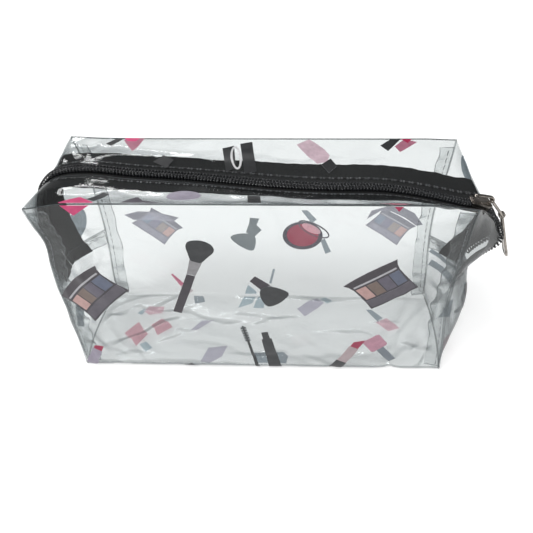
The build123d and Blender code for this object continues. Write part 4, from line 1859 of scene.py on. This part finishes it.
for side, face in QUARTERS:
    prints = Prints(UNDERPRINT)
    chosen = [part for part in fold_prints[face] if float(np.mean(part[0][:, 0])) * side > 0]
    clipped = [(clip(outline, FOLD_GAP, True), name, layer) for outline, name, layer in chosen]
    prints.add(strips[side, face], on_strip(side, face), clipped)
    piece = prints.build(f"{FACE_NAMES[face]}_strip_prints_{SIDE_NAMES[side]}")
    blend_half(piece)

end_prints = Prints(UNDERPRINT)


END_PRINT_HALF = 26.0
END_PRINT_HEIGHT = 52.0
UPPER_PRINT_WIDTH = 20.0


def on_end(flat):
    """Places on a lower end from the distance across it and the height."""
    return flat[:, 0] / END_PRINT_HALF, flat[:, 1] / END_PRINT_HEIGHT


end_prints.add(
    lower_ends[RIGHT],
    on_end,
    disc((-7.5, 33), 10, 3.4, -59, "jet", 0)
    + stick((-2.5, 16.5), (-12, 31), [(0, 1, 1.5, 3.6, "jet", 1)])
    + drawn(("slate", 0, [(6.5, 4), (-2, 12), (4, 20), (9, 14)]))
    + [(ribbon_outline([(25, 42), (17.5, 38.5), (8, 37)], 3.2), "slate", 0)]
    + [(ribbon_outline([(25, 33), (20, 31.5), (12.5, 26.5)], 5.0), "slate", 0)]
    + disc((-15, 7), 4.0, 3.0, 20, "dusty", 0),
)
end_prints.add(
    lower_ends[LEFT],
    on_end,
    stick((-12, 12), (-2, 20), [(0, 1, 6, 6, "slate", 0)]),
)
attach(end_prints.build("end_prints"), BAG)

upper_prints = Prints(FRESH_UNDERPRINT)


def on_upper(side, face):
    """Places on an upper end from the distance short of its seam and the distance out from the zip."""

    def where(flat):
        return zip_lines[side, face].seam - flat[:, 0], flat[:, 1] / UPPER_PRINT_WIDTH

    return where


upper_prints.add(
    strips[LEFT, BACK],
    on_upper(LEFT, BACK),
    disc((9, 8), 8.0, 4.6, 35, "slate", 0) + disc((9.4, 8), 5.8, 2.4, 35, "black", 1),
)
upper_prints.add(
    strips[RIGHT, BACK],
    on_upper(RIGHT, BACK),
    disc((34, 13), 5.0, 3.0, 10, "slate", 0),
)
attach(upper_prints.build("upper_end_prints"), BAG)


# ---------------------------------------------------------------- floor, light and camera
FLOOR_GLOW = 0.62
FLOOR_LEVEL = -0.02
SUN_POWER = 1.75
SUN_SPREAD = 34.0
SUN_PLACE = (-0.32, -0.32, 0.89)
SKY = [(0.0, grey(0.6)), (0.2, grey(0.4)), (0.38, grey(0.18)), (0.7, grey(0.13)), (1.0, grey(0.3))]


def floor_material():
    """Pale studio floor, lit a little from below like a light table."""
    n = material_nodes("studio_floor")
    stops = [(0.3, linear(194, 195, 195)), (0.7, linear(198, 198, 198))]
    values = {
        "Roughness": 0.9,
        "Specular IOR Level": 0.1,
        "Emission Color": grey(1.0),
        "Emission Strength": FLOOR_GLOW,
    }
    return n.finish(n.principled(values, base_color=n.ramp(n.noise(n.coordinates(), 3.0, 2.0), stops)))


def make_floor():
    """A large round sweep of floor just under the bag."""
    metres = [0.4, 1.2, 3.0, 8.0, 20.0]
    sides = 64
    turn = np.linspace(0, 2 * math.pi, sides, endpoint=False)
    points = [(0.0, 0.0, FLOOR_LEVEL)]
    for radius in metres:
        points += [(radius * 1000 * math.cos(a), radius * 1000 * math.sin(a), FLOOR_LEVEL) for a in turn]
    faces = [(0, 1 + k, 1 + (k + 1) % sides) for k in range(sides)]
    for a, b, c, d in bands(len(metres), sides):
        faces.append((1 + a, 1 + d, 1 + c, 1 + b))
    mesh = bpy.data.meshes.new("floor")
    mesh.from_pydata((np.array(points) * MM).tolist(), [], faces)
    mesh.materials.append(floor_material())
    mesh.shade_smooth()
    floor = bpy.data.objects.new("floor", mesh)
    bpy.context.scene.collection.objects.link(floor)


make_floor()

scene = bpy.context.scene
scene.view_settings.view_transform = "Standard"
scene.view_settings.look = "None"
scene.cycles.transparent_max_bounces = 64
scene.cycles.max_bounces = 14
scene.cycles.sample_clamp_indirect = 6.0

world = bpy.data.worlds.new("studio")
scene.world = world
n = Nodes(world, "OutputWorld")
split = n.add("SeparateXYZ")
n.join(n.add("TexCoord").outputs["Generated"], split.inputs[0])
level = n.add("MapRange", {"From Min": -0.2, "From Max": 1.0})
n.join(split.outputs["Z"], level.inputs["Value"])
studio = n.add("Background", {"Strength": 1.0})
n.join(n.ramp(level.outputs["Result"], SKY), studio.inputs["Color"])
backdrop = n.add("Background", {"Color": grey(1.0), "Strength": 1.0})
n.finish(n.mixed(n.add("LightPath").outputs["Is Camera Ray"], studio, backdrop))


def softbox(name, place, aim, width, depth, power):
    """A large even light."""
    light = bpy.data.lights.new(name, "AREA")
    light.shape = "RECTANGLE"
    light.size = width
    light.size_y = depth
    light.energy = power
    obj = bpy.data.objects.new(name, light)
    obj.location = place
    obj.rotation_euler = (Vector(aim) - Vector(place)).to_track_quat("-Z", "Y").to_euler()
    scene.collection.objects.link(obj)


softbox("key", (-0.5, -0.3, 1.0), (0, 0, 0.05), 0.13, 0.13, 2.0)
softbox("side_glow", (0.9, -0.3, 0.6), (0, 0, 0.05), 0.25, 0.25, 1.2)
softbox("back_strip", (-0.15, 0.9, 0.72), (0, 0, 0.02), 0.9, 0.05, 2.0)
softbox("left_strip", (-0.8, 0.3, 0.6), (0, 0, 0.02), 0.7, 0.04, 1.5)
sun = bpy.data.lights.new("overhead", "SUN")
sun.energy = SUN_POWER
sun.angle = math.radians(SUN_SPREAD)
sun_object = bpy.data.objects.new("overhead", sun)
sun_object.rotation_euler = Vector(SUN_PLACE).to_track_quat("Z", "Y").to_euler()
scene.collection.objects.link(sun_object)

# The camera looks down at the front from close by.
LENS_PIXELS = 540.0
IMAGE_PIXELS = 533.0
SENSOR = 36.0
CAMERA_ELEVATION = 0.6985
CAMERA_YAW = -0.0436
CAMERA_ROLL = -0.019
CAMERA_DISTANCE = 0.2822
LENS_SHIFT = (0.00905, -0.0076)
TARGET = Vector((0, 0, 0.05))
back_way = Vector((0, -math.cos(CAMERA_ELEVATION), math.sin(CAMERA_ELEVATION)))
right_way = Vector((1, 0, 0))
up_way = back_way.cross(right_way)
rolled_right = math.cos(CAMERA_ROLL) * right_way + math.sin(CAMERA_ROLL) * up_way
rolled_up = -math.sin(CAMERA_ROLL) * right_way + math.cos(CAMERA_ROLL) * up_way


def turned(way):
    """A direction turned about the upright axis by the camera's yaw."""
    c, s = math.cos(CAMERA_YAW), math.sin(CAMERA_YAW)
    return Vector((c * way.x + s * way.y, -s * way.x + c * way.y, way.z))


camera_data = bpy.data.cameras.new("camera")
camera_data.sensor_width = SENSOR
camera_data.lens = SENSOR * LENS_PIXELS / IMAGE_PIXELS
camera_data.shift_x, camera_data.shift_y = LENS_SHIFT
camera_data.clip_start = 0.01
camera_data.clip_end = 60.0
camera = bpy.data.objects.new("camera", camera_data)
scene.collection.objects.link(camera)
columns = [turned(rolled_right), turned(rolled_up), turned(back_way)]
placed = Matrix(columns).transposed().to_4x4()
placed.translation = TARGET + columns[2] * CAMERA_DISTANCE
camera.matrix_world = placed
scene.camera = camera
